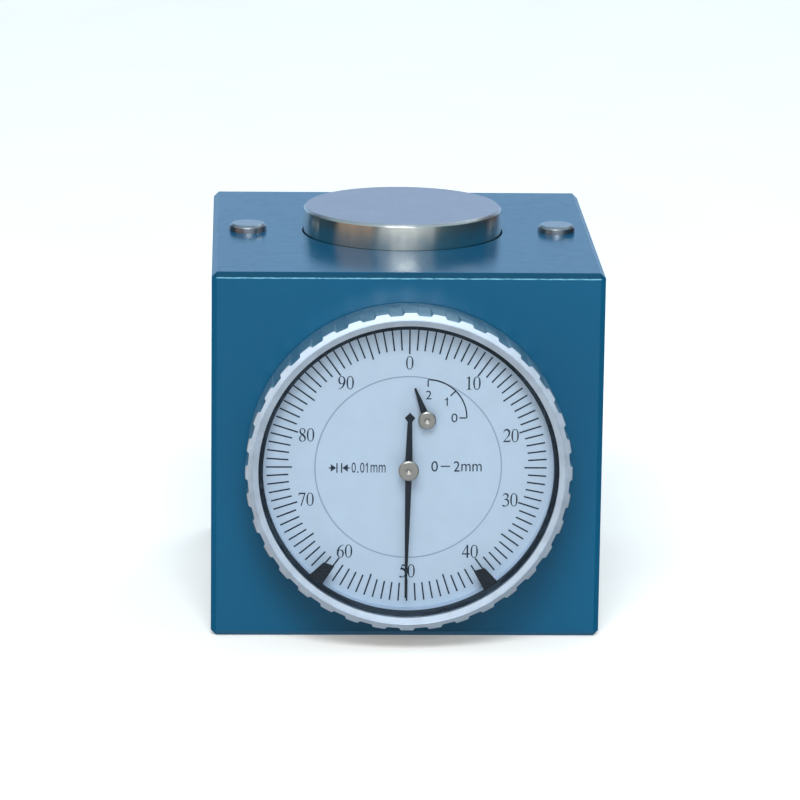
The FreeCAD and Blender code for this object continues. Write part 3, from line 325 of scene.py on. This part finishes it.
def paint():
    """Blue enamel with a faint orange peel, with painted shade on the front's top chamfer and a painted
    highlight along its lower edge.
    """
    finish = Finish("blue_enamel", (0.0024, 0.077, 0.156), 0.0, 0.20, Specular_IOR_Level=0.30)
    finish.shine(finish.noise(700, 2), 0.17, 0.23)
    finish.bump(finish.noise(520, 2), 0.012 * MM)
    finish.tint(finish.noise(45, 2), 0.05)
    split = finish.node("ShaderNodeSeparateXYZ")
    finish.link(finish.place, split.inputs[0])
    depth, height = split.outputs["Y"], split.outputs["Z"]
    edge = BLOCK_HIGH.z - CHAMFER
    # Painted shade: the front's top chamfer gets a darker blue, standing for the shade it sits in.
    chamfer_painted_shade = finish.maths(
        "MULTIPLY",
        finish.spread(depth, FRONT_Y + 0.85 * CHAMFER, FRONT_Y + CHAMFER, 1, 0),
        finish.spread(height, edge, edge + 0.15 * CHAMFER, 0, 1),
    )
    # Painted highlight: a wandering light line along the chamfer's lower edge, where the rounded paint edge
    # would catch the lamps.
    wander = finish.maths("MULTIPLY_ADD", finish.noise(1400, 2), PAINTED_HIGHLIGHT_WANDER, height)
    off_edge = finish.maths("ABSOLUTE", finish.maths("SUBTRACT", wander, edge + PAINTED_HIGHLIGHT_WANDER / 2))
    on_edge = finish.maths(
        "MULTIPLY",
        finish.spread(off_edge, *PAINTED_HIGHLIGHT_WIDTHS, 1, 0),
        finish.spread(depth, FRONT_Y + 0.05 * MM, FRONT_Y + 0.2 * MM, 1, 0),
    )
    painted_highlight = finish.maths("MULTIPLY", on_edge, finish.spread(finish.noise(1100, 3), 0.30, 0.56, 0.3, 1))
    # Painted shade: darker blue laid over the top chamfer.
    finish.cover(chamfer_painted_shade, (0.0025, 0.050, 0.095))
    # Painted highlight: a light blue line laid along the chamfer's lower edge.
    finish.cover(painted_highlight, (0.17, 0.42, 0.54))
    return finish.material


def ground_steel(name, colour, low, high, along=(30, 900, 900)):
    """Steel with fine grinding lines along X."""
    finish = Finish(name, colour, 1.0, (low + high) / 2)
    lines = finish.noise(12, 5, finish.stretched(along), 0.65)
    finish.tint(lines, 0.06)
    finish.shine(lines, low, high)
    finish.bump(lines, 0.0006 * MM)
    return finish.material


def anvil_steel():
    """Steel: a matt lapped face, and a ground rim whose fine rings draw reflections out into upright bars."""
    finish = Finish("anvil_steel", (0.47, 0.43, 0.46), 1.0, 0.40)
    finish.tint(finish.noise(260, 4), 0.03)
    finish.shine(finish.noise(1500, 4), 0.36, 0.44)
    finish.bump(finish.noise(2600, 3), 0.0003 * MM)
    rim = finish.node("ShaderNodeBsdfPrincipled")
    rim.inputs["Metallic"].default_value = 1.0
    rim.inputs["Anisotropic"].default_value = 0.8
    rim.inputs["Anisotropic Rotation"].default_value = 0.25
    around = finish.node("ShaderNodeTangent", direction_type="RADIAL", axis="Z")
    finish.link(around.outputs[0], rim.inputs["Tangent"])
    finish.link(finish.spread(finish.noise(900, 3), 0.3, 0.7, 0.20, 0.25), rim.inputs["Roughness"])
    tone = finish.node("ShaderNodeMix", data_type="RGBA")
    tone.inputs[6].default_value = (0.72, 0.69, 0.62, 1)
    tone.inputs[7].default_value = (0.80, 0.77, 0.69, 1)
    finish.link(finish.noise(1.0, 3, finish.stretched((900, 900, 40))), tone.inputs["Factor"])
    finish.link(tone.outputs[2], rim.inputs["Base Color"])
    facing = finish.node("ShaderNodeSeparateXYZ")
    finish.link(finish.node("ShaderNodeTexCoord").outputs["Normal"], facing.inputs[0])
    join = finish.node("ShaderNodeMixShader")
    finish.link(finish.spread(facing.outputs["Z"], 0.55, 0.85, 0, 1), join.inputs["Fac"])
    finish.link(rim.outputs["BSDF"], join.inputs[1])
    finish.link(finish.shader.outputs["BSDF"], join.inputs[2])
    finish.link(join.outputs[0], finish.tree.nodes["Material Output"].inputs["Surface"])
    return finish.material


def turned_metal(name, colour, low, high, axis, centre, pitch=0.09):
    """Metal with fine rings about an axis, from turning."""
    finish = Finish(name, colour, 1.0, (low + high) / 2)
    rings = finish.maths("SINE", finish.maths("MULTIPLY", finish.radius(axis, centre), TURN / (pitch * MM)))
    blotch = finish.noise(700, 4)
    grain = finish.maths("MULTIPLY_ADD", rings, 0.12, blotch)
    finish.tint(blotch, 0.05)
    finish.shine(grain, low, high)
    finish.bump(grain, 0.0005 * MM)
    return finish.material


BEZEL_WALL_DEPTH = (0.30 * MM, 0.42 * MM)
BEZEL_WALL_RADIUS = (20.5 * MM, 20.6 * MM)


def bezel_aluminium():
    """Blasted rim, and behind it a smoother gripping wall, coloured a darker teal as painted shade with a
    painted reflection of the blue block.
    """
    finish = Finish("bezel_aluminium", (0.69, 0.755, 0.84), 1.0, 0.57)
    blotch = finish.noise(700, 4)
    finish.tint(blotch, 0.05)
    finish.bump(finish.noise(2400, 4), 0.0005 * MM)
    split = finish.node("ShaderNodeSeparateXYZ")
    finish.link(finish.place, split.inputs[0])
    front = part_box("bezel")[0].y
    on_wall = finish.maths(
        "MULTIPLY",
        finish.spread(split.outputs["Y"], *(front + depth for depth in BEZEL_WALL_DEPTH), 0, 1),
        finish.spread(finish.radius("Y", DIAL_CENTRE), *BEZEL_WALL_RADIUS, 0, 1),
    )
    # Painted shade and painted reflection: the wall gets a darker teal colour; its lower roughness below is
    # real.
    finish.cover(on_wall, (0.60, 0.72, 0.74))
    grain = finish.spread(blotch, 0.3, 0.7, 0.52, 0.62)
    finish.link(finish.maths("MULTIPLY_ADD", on_wall, -0.20, grain), finish.shader.inputs["Roughness"])
    return finish.material


def cast_metal(name, colour, low, high, scale=1500):
    """Metal with fine irregular grain, for screws, springs and plates."""
    finish = Finish(name, colour, 1.0, (low + high) / 2)
    grain = finish.noise(scale, 5)
    finish.tint(finish.noise(scale / 6, 3), 0.10)
    finish.shine(grain, low, high)
    finish.bump(grain, 0.0008 * MM)
    return finish.material


def coated(name, colour, low, high, depth, scale, specular=0.4):
    """Lacquer, print or rubber with a fine grain."""
    finish = Finish(name, colour, 0.0, (low + high) / 2, Specular_IOR_Level=specular)
    grain = finish.noise(scale, 4)
    finish.tint(finish.noise(scale / 8, 2), 0.02)
    finish.shine(grain, low, high)
    finish.bump(grain, depth)
    return finish.material


def clear_plastic():
    """Crystal: a faint mirror face on, a stronger one at a slant."""
    finish = Finish("clear_crystal", (0.90, 0.95, 1.0), 1.0, 0.06)
    facing = finish.node("ShaderNodeLayerWeight")
    facing.inputs["Blend"].default_value = 0.30
    finish.link(
        finish.spread(facing.outputs["Fresnel"], 0.0, 1.0, 0.0, 0.35), finish.shader.inputs["Alpha"]
    )
    finish.shine(finish.noise(500, 3), 0.05, 0.08)
    return finish.material


DIAL_CENTRE = (DIAL_X, 0, DIAL_Z)

FINISHES = {
    "block_paint": paint(),
    "anvil_steel": anvil_steel(),
    "pin_steel": ground_steel("pin_steel", (0.37, 0.37, 0.39), 0.24, 0.34),
    "steel": turned_metal("turned_steel", (0.45, 0.46, 0.48), 0.25, 0.40, "Z", (0, 0, 0)),
    "screw_steel": cast_metal("screw_steel", (0.35, 0.36, 0.38), 0.28, 0.42),
    "magnet": cast_metal("magnet_nickel", (0.60, 0.58, 0.55), 0.12, 0.25, 900),
    "spring_steel": cast_metal("spring_steel", (0.30, 0.31, 0.33), 0.25, 0.38),
    "bronze": turned_metal("bronze", (0.58, 0.36, 0.16), 0.25, 0.38, "Z", (0, 0, 0)),
    "brass": turned_metal("brass", (0.72, 0.52, 0.20), 0.20, 0.32, "Y", DIAL_CENTRE),
    "bezel_aluminium": bezel_aluminium(),
    "case_aluminium": turned_metal("case_aluminium", (0.60, 0.61, 0.63), 0.30, 0.42, "Y", DIAL_CENTRE),
    "seal_black": coated("seal_black", (0.013, 0.026, 0.042), 0.38, 0.46, 0.0004 * MM, 900, 0.3),
    "crystal": clear_plastic(),
    "dial_white": coated("dial_white", (0.42, 0.50, 0.595), 0.45, 0.55, 0.0003 * MM, 3000, 0.2),
    "hand_black": coated("hand_black", (0.009, 0.013, 0.020), 0.36, 0.46, 0.0003 * MM, 1500, 0.25),
    "hub_nickel": cast_metal("hub_nickel", (0.56, 0.51, 0.45), 0.34, 0.42, 1100),
}
INK = coated("dial_ink", (0.012, 0.023, 0.045), 0.45, 0.55, 0.0001 * MM, 1500, 0.2)
# Painted shade: grey-blue colour for the ring that stands for the shading of the dial's step.
STEP_PAINTED_SHADE = coated("painted_step_shade", (0.27, 0.32, 0.42), 0.45, 0.55, 0.0002 * MM, 1500, 0.2)


def finish_cad_nodes():
    """Gives every CAD node the finish of its slot."""
    for part in frame["record"]["subparts"]:
        node = frame["nodes"][part["node"]]
        for place in node.material_slots:
            place.material = FINISHES[part["material_slot"]]


# Widths in millimetres. The bezel's edges are broken in the CAD.
EDGE_BREAKS = {
    "block_body": 0.16,
    "anvil_disc": 0.10,
    "reference_pins": 0.12,
    "crystal_seal": 0.04,
    "main_pointer_hub": 0.05,
    "small_pointer_hub": 0.05,
    "main_pointer": 0.03,
    "small_pointer": 0.03,
    "limit_hand_left": 0.04,
    "limit_hand_right": 0.04,
    "base_plate": 0.12,
    "base_plate_screws": 0.08,
    "magnets": 0.10,
}


def break_edges():
    """Rounds the sharp edges of the CAD pieces that show."""
    for name, width in EDGE_BREAKS.items():
        node = frame["nodes"][name]
        weld = node.modifiers.new("weld", "WELD")
        weld.merge_threshold = SAME_POINT
        bevel = node.modifiers.new("edge_break", "BEVEL")
        bevel.width = width * MM
        bevel.segments = 3
        bevel.limit_method = "ANGLE"
        bevel.angle_limit = math.radians(28)
        bevel.harden_normals = True


def coil_that_shortens():
    """The return spring again, welded into one piece and riding with the housing in place of the hidden CAD
    spring.
    """
    node = frame["nodes"]["return_spring"]
    mesh = node.data.copy()
    mesh.name = "return_spring_coil"
    shape = bmesh.new()
    shape.from_mesh(mesh)
    bmesh.ops.remove_doubles(shape, verts=shape.verts, dist=SAME_POINT)
    shape.to_mesh(mesh)
    shape.free()
    mesh.materials.clear()
    mesh.materials.append(FINISHES["spring_steel"])
    coil = bpy.data.objects.new("return_spring_coil", mesh)
    bpy.context.scene.collection.objects.link(coil)
    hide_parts("return_spring")
    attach(coil, "housing")
    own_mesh(coil)


# ---- dial artwork --------------------------------------------------------------------------------------

INK_AND_SHADE_DEPTH = 0.012 * MM
ROUND, SHARP = "AUTO", "VECTOR"


def ellipse(x, y, across, up):
    """Four smooth points of an upright ellipse."""
    return [(x - across, y, ROUND), (x, y + up, ROUND), (x + across, y, ROUND), (x, y - up, ROUND)]


SIX = [
    [
        (0.635, 1.0, SHARP), (0.40, 0.935, ROUND), (0.16, 0.72, ROUND), (0.05, 0.40, ROUND),
        (0.12, 0.12, ROUND), (0.36, -0.015, ROUND), (0.58, 0.09, ROUND), (0.655, 0.32, ROUND),
        (0.59, 0.52, ROUND), (0.43, 0.605, ROUND), (0.245, 0.545, SHARP), (0.31, 0.74, ROUND),
        (0.45, 0.89, ROUND), (0.64, 0.972, SHARP),
    ],
    [
        (0.225, 0.49, SHARP), (0.37, 0.545, ROUND), (0.49, 0.45, ROUND), (0.52, 0.27, ROUND),
        (0.48, 0.09, ROUND), (0.375, 0.03, ROUND), (0.25, 0.10, ROUND), (0.195, 0.33, ROUND),
    ],
]

# Upright serif figures, one unit high: closed outlines, then any holes.
FIGURES = {
    "0": [ellipse(0.355, 0.5, 0.315, 0.51), ellipse(0.355, 0.5, 0.175, 0.455)],
    "1": [
        [
            (0.18, 0.0, SHARP), (0.60, 0.0, SHARP), (0.60, 0.03, SHARP), (0.485, 0.055, ROUND),
            (0.455, 0.14, SHARP), (0.455, 1.01, SHARP), (0.42, 1.01, SHARP), (0.15, 0.875, SHARP),
            (0.165, 0.845, SHARP), (0.285, 0.875, ROUND), (0.32, 0.80, SHARP), (0.32, 0.14, SHARP),
            (0.29, 0.055, ROUND), (0.18, 0.03, SHARP),
        ],
    ],
    "2": [
        [
            (0.04, 0.0, SHARP), (0.61, 0.0, SHARP), (0.69, 0.20, SHARP), (0.66, 0.205, SHARP),
            (0.60, 0.13, ROUND), (0.50, 0.11, SHARP), (0.19, 0.11, SHARP), (0.44, 0.36, ROUND),
            (0.59, 0.56, ROUND), (0.625, 0.73, ROUND), (0.56, 0.92, ROUND), (0.36, 1.01, ROUND),
            (0.15, 0.93, ROUND), (0.045, 0.72, SHARP), (0.075, 0.71, SHARP), (0.17, 0.84, ROUND),
            (0.31, 0.89, ROUND), (0.44, 0.83, ROUND), (0.485, 0.67, ROUND), (0.43, 0.48, ROUND),
            (0.26, 0.25, ROUND), (0.04, 0.03, SHARP),
        ],
    ],
    "3": [
        [
            (0.08, 0.80, SHARP), (0.19, 0.955, ROUND), (0.36, 1.01, ROUND), (0.54, 0.945, ROUND),
            (0.60, 0.80, ROUND), (0.555, 0.665, ROUND), (0.45, 0.585, SHARP), (0.59, 0.49, ROUND),
            (0.645, 0.33, ROUND), (0.57, 0.11, ROUND), (0.33, -0.015, ROUND), (0.12, -0.01, ROUND),
            (0.06, 0.055, ROUND), (0.12, 0.11, ROUND), (0.21, 0.085, ROUND), (0.33, 0.045, ROUND),
            (0.47, 0.12, ROUND), (0.525, 0.28, ROUND), (0.46, 0.43, ROUND), (0.33, 0.49, ROUND),
            (0.21, 0.505, SHARP), (0.21, 0.53, SHARP), (0.36, 0.585, ROUND), (0.45, 0.66, ROUND),
            (0.475, 0.76, ROUND), (0.42, 0.87, ROUND), (0.30, 0.91, ROUND), (0.19, 0.875, ROUND),
            (0.11, 0.785, SHARP),
        ],
    ],
    "4": [
        [
            (0.40, 0.0, SHARP), (0.535, 0.0, SHARP), (0.535, 0.25, SHARP), (0.69, 0.25, SHARP),
            (0.69, 0.35, SHARP), (0.535, 0.35, SHARP), (0.535, 1.01, SHARP), (0.44, 1.01, SHARP),
            (0.02, 0.35, SHARP), (0.02, 0.25, SHARP), (0.40, 0.25, SHARP),
        ],
        [(0.40, 0.35, SHARP), (0.40, 0.83, SHARP), (0.09, 0.35, SHARP)],
    ],
    "5": [
        [
            (0.27, 1.0, SHARP), (0.64, 1.0, SHARP), (0.585, 0.885, SHARP), (0.28, 0.885, SHARP),
            (0.22, 0.77, SHARP), (0.45, 0.69, ROUND), (0.59, 0.545, ROUND), (0.635, 0.36, ROUND),
            (0.57, 0.14, ROUND), (0.41, 0.02, ROUND), (0.22, -0.015, ROUND), (0.08, 0.005, ROUND),
            (0.045, 0.06, ROUND), (0.10, 0.115, ROUND), (0.19, 0.09, ROUND), (0.30, 0.055, ROUND),
            (0.44, 0.12, ROUND), (0.51, 0.28, ROUND), (0.47, 0.44, ROUND), (0.33, 0.565, ROUND),
            (0.10, 0.61, SHARP),
        ],
    ],
    "6": SIX,
    "7": [
        [
            (0.05, 0.78, SHARP), (0.12, 1.0, SHARP), (0.66, 1.0, SHARP), (0.66, 0.965, SHARP),
            (0.34, -0.01, SHARP), (0.24, -0.01, SHARP), (0.54, 0.885, SHARP), (0.24, 0.885, ROUND),
            (0.15, 0.86, ROUND), (0.085, 0.77, SHARP),
        ],
    ],
    "8": [
        [
            (0.36, 1.01, ROUND), (0.55, 0.945, ROUND), (0.615, 0.79, ROUND), (0.56, 0.65, ROUND),
            (0.44, 0.55, SHARP), (0.59, 0.42, ROUND), (0.65, 0.24, ROUND), (0.575, 0.06, ROUND),
            (0.36, -0.015, ROUND), (0.15, 0.05, ROUND), (0.08, 0.22, ROUND), (0.14, 0.375, ROUND),
            (0.285, 0.49, SHARP), (0.15, 0.61, ROUND), (0.105, 0.77, ROUND), (0.18, 0.94, ROUND),
        ],
        [
            (0.40, 0.575, SHARP), (0.48, 0.67, ROUND), (0.505, 0.79, ROUND), (0.47, 0.905, ROUND),
            (0.36, 0.96, ROUND), (0.26, 0.91, ROUND), (0.22, 0.81, ROUND), (0.27, 0.69, ROUND),
        ],
        [
            (0.32, 0.46, SHARP), (0.225, 0.36, ROUND), (0.195, 0.23, ROUND), (0.25, 0.085, ROUND),
            (0.375, 0.035, ROUND), (0.49, 0.08, ROUND), (0.535, 0.19, ROUND), (0.47, 0.32, ROUND),
        ],
    ],
    "9": [[(0.70 - x, 0.985 - y, kind) for x, y, kind in outline] for outline in SIX],
}
FIGURE_STEP = 0.69
# A plain one, in a box one unit wide and high.
PLAIN_ONE = [
    (0.62, 0), (1.0, 0), (1.0, 1.0), (0.70, 1.0), (0.46, 0.86), (0.0, 0.74), (0.0, 0.62), (0.62, 0.76),
]


class Artwork:
    """Flat shapes, print and the painted shade of the dial's step, gathered in one mesh, in millimetres on
    the dial, then stood up on its face.
    """

    def __init__(self):
        self.mesh = bmesh.new()

    def polygon(self, points):
        self.mesh.faces.new([self.mesh.verts.new((x, y, 0)) for x, y in points])

    def bar(self, start, end, width):
        """A straight line of the given width."""
        along = (Vector(end) - Vector(start)).normalized()
        side = Vector((-along.y, along.x)) * width / 2
        corners = (Vector(start) - side, Vector(end) - side, Vector(end) + side, Vector(start) + side)
        self.polygon([tuple(c) for c in corners])

    def arc(self, centre, radius, first, last, width, steps=48):
        """Part of a ring, between two angles in degrees."""
        for i in range(steps):
            low, high = (math.radians(first + (last - first) * (i + j) / steps) for j in (0, 1))
            ring = [(low, -1), (high, -1), (high, 1), (low, 1)]
            self.polygon(
                [
                    (
                        centre[0] + (radius + side * width / 2) * math.cos(angle),
                        centre[1] + (radius + side * width / 2) * math.sin(angle),
                    )
                    for angle, side in ring
                ]
            )

    def take(self, curve, move):
        """Adds a filled curve's faces, moved by a matrix."""
        item = bpy.data.objects.new("outline", curve)
        bpy.context.scene.collection.objects.link(item)
        graph = bpy.context.evaluated_depsgraph_get()
        flat = bpy.data.meshes.new_from_object(item.evaluated_get(graph))
        flat.transform(move)
        self.mesh.from_mesh(flat)
        bpy.data.objects.remove(item)
        bpy.data.meshes.remove(flat)

    def figure(self, character, x, y, height, width_share):
        """One serif figure with its lower left corner at x, y."""
        curve = bpy.data.curves.new("figure", "CURVE")
        curve.dimensions = "2D"
        curve.fill_mode = "BOTH"
        curve.resolution_u = 6
        for outline in FIGURES[character]:
            spline = curve.splines.new("BEZIER")
            spline.bezier_points.add(len(outline) - 1)
            for point, (across, up, kind) in zip(spline.bezier_points, outline):
                point.co = (across, up, 0)
                point.handle_left_type = point.handle_right_type = kind
            spline.use_cyclic_u = True
        size = Matrix.Diagonal((height * width_share, height, 1, 1))
        self.take(curve, Matrix.Translation((x, y, 0)) @ size)

    def number(self, text, x, y, height, width_share):
        """Serif figures centred on x, y."""
        step = FIGURE_STEP * height * width_share
        left = x - step * len(text) / 2
        for place, character in enumerate(text):
            self.figure(character, left + place * step, y - height / 2, height, width_share)

    def text(self, words, x, y, height, width):
        """Plain lettering of a set height and overall width, centred on x, y."""
        curve = bpy.data.curves.new("words", "FONT")
        curve.body = words
        item = bpy.data.objects.new("words", curve)
        bpy.context.scene.collection.objects.link(item)
        graph = bpy.context.evaluated_depsgraph_get()
        flat = bpy.data.meshes.new_from_object(item.evaluated_get(graph))
        bpy.data.objects.remove(item)
        xs = [v.co.x for v in flat.vertices]
        ys = [v.co.y for v in flat.vertices]
        shrink = Matrix.Diagonal((width / (max(xs) - min(xs)), height / (max(ys) - min(ys)), 1, 1))
        middle = Vector(((max(xs) + min(xs)) / 2, (max(ys) + min(ys)) / 2, 0))
        flat.transform(Matrix.Translation((x, y, 0)) @ shrink @ Matrix.Translation(-middle))
        self.mesh.from_mesh(flat)
        bpy.data.meshes.remove(flat)

    def one(self, left, bottom, width, height):
        """A plain figure one."""
        self.polygon([(left + x * width, bottom + y * height) for x, y in PLAIN_ONE])

    def stand_up(self, name, body, ink=None):
        """Thickens the shapes, print and the step's painted shade alike, and stands them on the dial's face.
        """
        bmesh.ops.remove_doubles(self.mesh, verts=self.mesh.verts, dist=SAME_POINT / MM)
        bmesh.ops.recalc_face_normals(self.mesh, faces=self.mesh.faces)
        for face in self.mesh.faces:
            if face.normal.z < 0:
                face.normal_flip()
        top = bmesh.ops.extrude_face_region(self.mesh, geom=self.mesh.faces[:])["geom"]
        lifted = [item for item in top if isinstance(item, bmesh.types.BMVert)]
        bmesh.ops.translate(self.mesh, verts=lifted, vec=(0, 0, INK_AND_SHADE_DEPTH / MM))
        upright = Matrix(((1, 0, 0, DIAL_X), (0, 0, -1, DIAL_FACE_Y), (0, 1, 0, DIAL_Z), (0, 0, 0, 1)))
        self.mesh.transform(upright @ Matrix.Scale(MM, 4))
        bmesh.ops.recalc_face_normals(self.mesh, faces=self.mesh.faces)
        made = bpy.data.meshes.new(name)
        self.mesh.to_mesh(made)
        self.mesh.free()
        made.materials.append(ink or INK)
        piece = bpy.data.objects.new(name, made)
        bpy.context.scene.collection.objects.link(piece)
        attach(piece, body)
        return piece


DIVISIONS = 100
TICK_OUTER = 18.22
TICK_SHIFT = Vector((-0.22, 0.2))
TICK_INNER = 15.6
LONG_TICK_INNER = 15.1
TICK_WIDTH = 0.2
NUMBER_RADIUS = 13.95
NUMBER_HEIGHT = 1.75
NUMBER_WIDTH_SHARE = 0.88


def at(radius, degrees):
    """A point of the dial at a clockwise angle from its top."""
    angle = math.radians(degrees)
    return Vector((radius * math.sin(angle), radius * math.cos(angle)))


def print_scale():
    """Divisions and numbers of the ring that turns with the bezel.

    The circle of the divisions' outer ends sits off the dial's centre by TICK_SHIFT.
    """
    art = Artwork()
    for division in range(DIVISIONS):
        angle = 360 * division / DIVISIONS
        inner = LONG_TICK_INNER if division % 5 == 0 else TICK_INNER
        art.bar(at(inner, angle), at(TICK_OUTER + at(1, angle).dot(TICK_SHIFT), angle), TICK_WIDTH)
    for tens in range(10):
        x, y = at(NUMBER_RADIUS, 36 * tens)
        art.number(str(10 * tens), x, y, NUMBER_HEIGHT, NUMBER_WIDTH_SHARE)
    art.stand_up("scale_print", "bezel_unit")


SMALL_ARC = 5.08
SMALL_LINE = 0.18
SMALL_SHIFT = Vector((0.09, 0.1))
SMALL_TICK = 0.95
# Words, middle x and y, height and width.
INNER_TEXT = [
    ("0", 5.9, 6.65, 1.16, 0.80),
    ("2", 2.53, 9.68, 1.16, 0.74),
    ("0", 3.42, 0.15, 1.39, 0.86),
    ("2", 6.30, 0.15, 1.39, 0.78),
    ("mm", 8.22, 0.0, 1.0, 2.66),
    ("0", -7.09, -0.05, 1.36, 0.55),
    ("0", -5.98, -0.05, 1.36, 0.55),
    ("mm", -3.92, -0.17, 1.04, 1.95),
]
# Left, bottom, width and height.
INNER_ONES = [(4.62, 8.24, 0.40, 1.12), (-5.58, -0.72, 0.32, 1.34)]
# Start, end and width: the dash of the range and the decimal point.
INNER_STROKES = [((4.22, 0.16), (5.42, 0.16), 0.16), ((-6.65, -0.64), (-6.46, -0.64), 0.18)]
# The division mark: side its arrow comes from and x of its bar.
ARROWS = [(-1, -9.26), (1, -8.66)]
ARROW_LINE = 0.16
ARROW_Y = -0.1
ARROW_BAR = 0.65
ARROW_HEAD = 0.5
# From the bar to the arrow's tip, to its base and to the end of its shaft.
ARROW_STEPS = (0.09, 0.8, 1.06)


def print_inner_dial():
    """Small dial from 0 to 2, the division mark and the range, on the disc that stays still."""
    art = Artwork()
    centre = Vector((SMALL_X / MM, SMALL_Y / MM)) + SMALL_SHIFT
    art.arc(centre, SMALL_ARC, 0, 90, SMALL_LINE)
    for angle in (0, 45, 90):
        along = at(1, 90 - angle)
        start, end = SMALL_ARC - SMALL_TICK, SMALL_ARC - SMALL_LINE / 2
        art.bar(centre + along * start, centre + along * end, SMALL_LINE)
    for words in INNER_TEXT:
        art.text(*words)
    for figure in INNER_ONES:
        art.one(*figure)
    for stroke in INNER_STROKES:
        art.bar(*stroke)
    for side, bar in ARROWS:
        art.bar((bar, ARROW_Y - ARROW_BAR), (bar, ARROW_Y + ARROW_BAR), ARROW_LINE)
        tip, base, tail = (bar + side * step for step in ARROW_STEPS)
        art.polygon([(tip, ARROW_Y), (base, ARROW_Y + ARROW_HEAD), (base, ARROW_Y - ARROW_HEAD)])
        art.bar((base, ARROW_Y), (tail, ARROW_Y), ARROW_LINE)
    art.stand_up("inner_dial_print", "housing")


# Width of the painted shade ring at the dial's step.
STEP_SHADE_WIDTH = 0.16


def shade_dial_step():
    """Painted shade: a soft grey ring over the gap where the still disc meets the turning ring, standing for
    the shading of that step.
    """
    art = Artwork()
    radius = (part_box("inner_dial")[1].x - DIAL_X) / MM
    art.arc((0, 0), radius + 0.01, 0, 360, STEP_SHADE_WIDTH, 120)
    art.stand_up("dial_step_painted_shade", "housing", STEP_PAINTED_SHADE)


# ---- scene ---------------------------------------------------------------------------------------------

bpy.context.scene.view_settings.view_transform = "Standard"
add_camera()
add_world()
add_floor()
for softbox in SOFTBOXES:
    add_softbox(*softbox)
finish_cad_nodes()
break_edges()
coil_that_shortens()
print_scale()
print_inner_dial()
shade_dial_step()
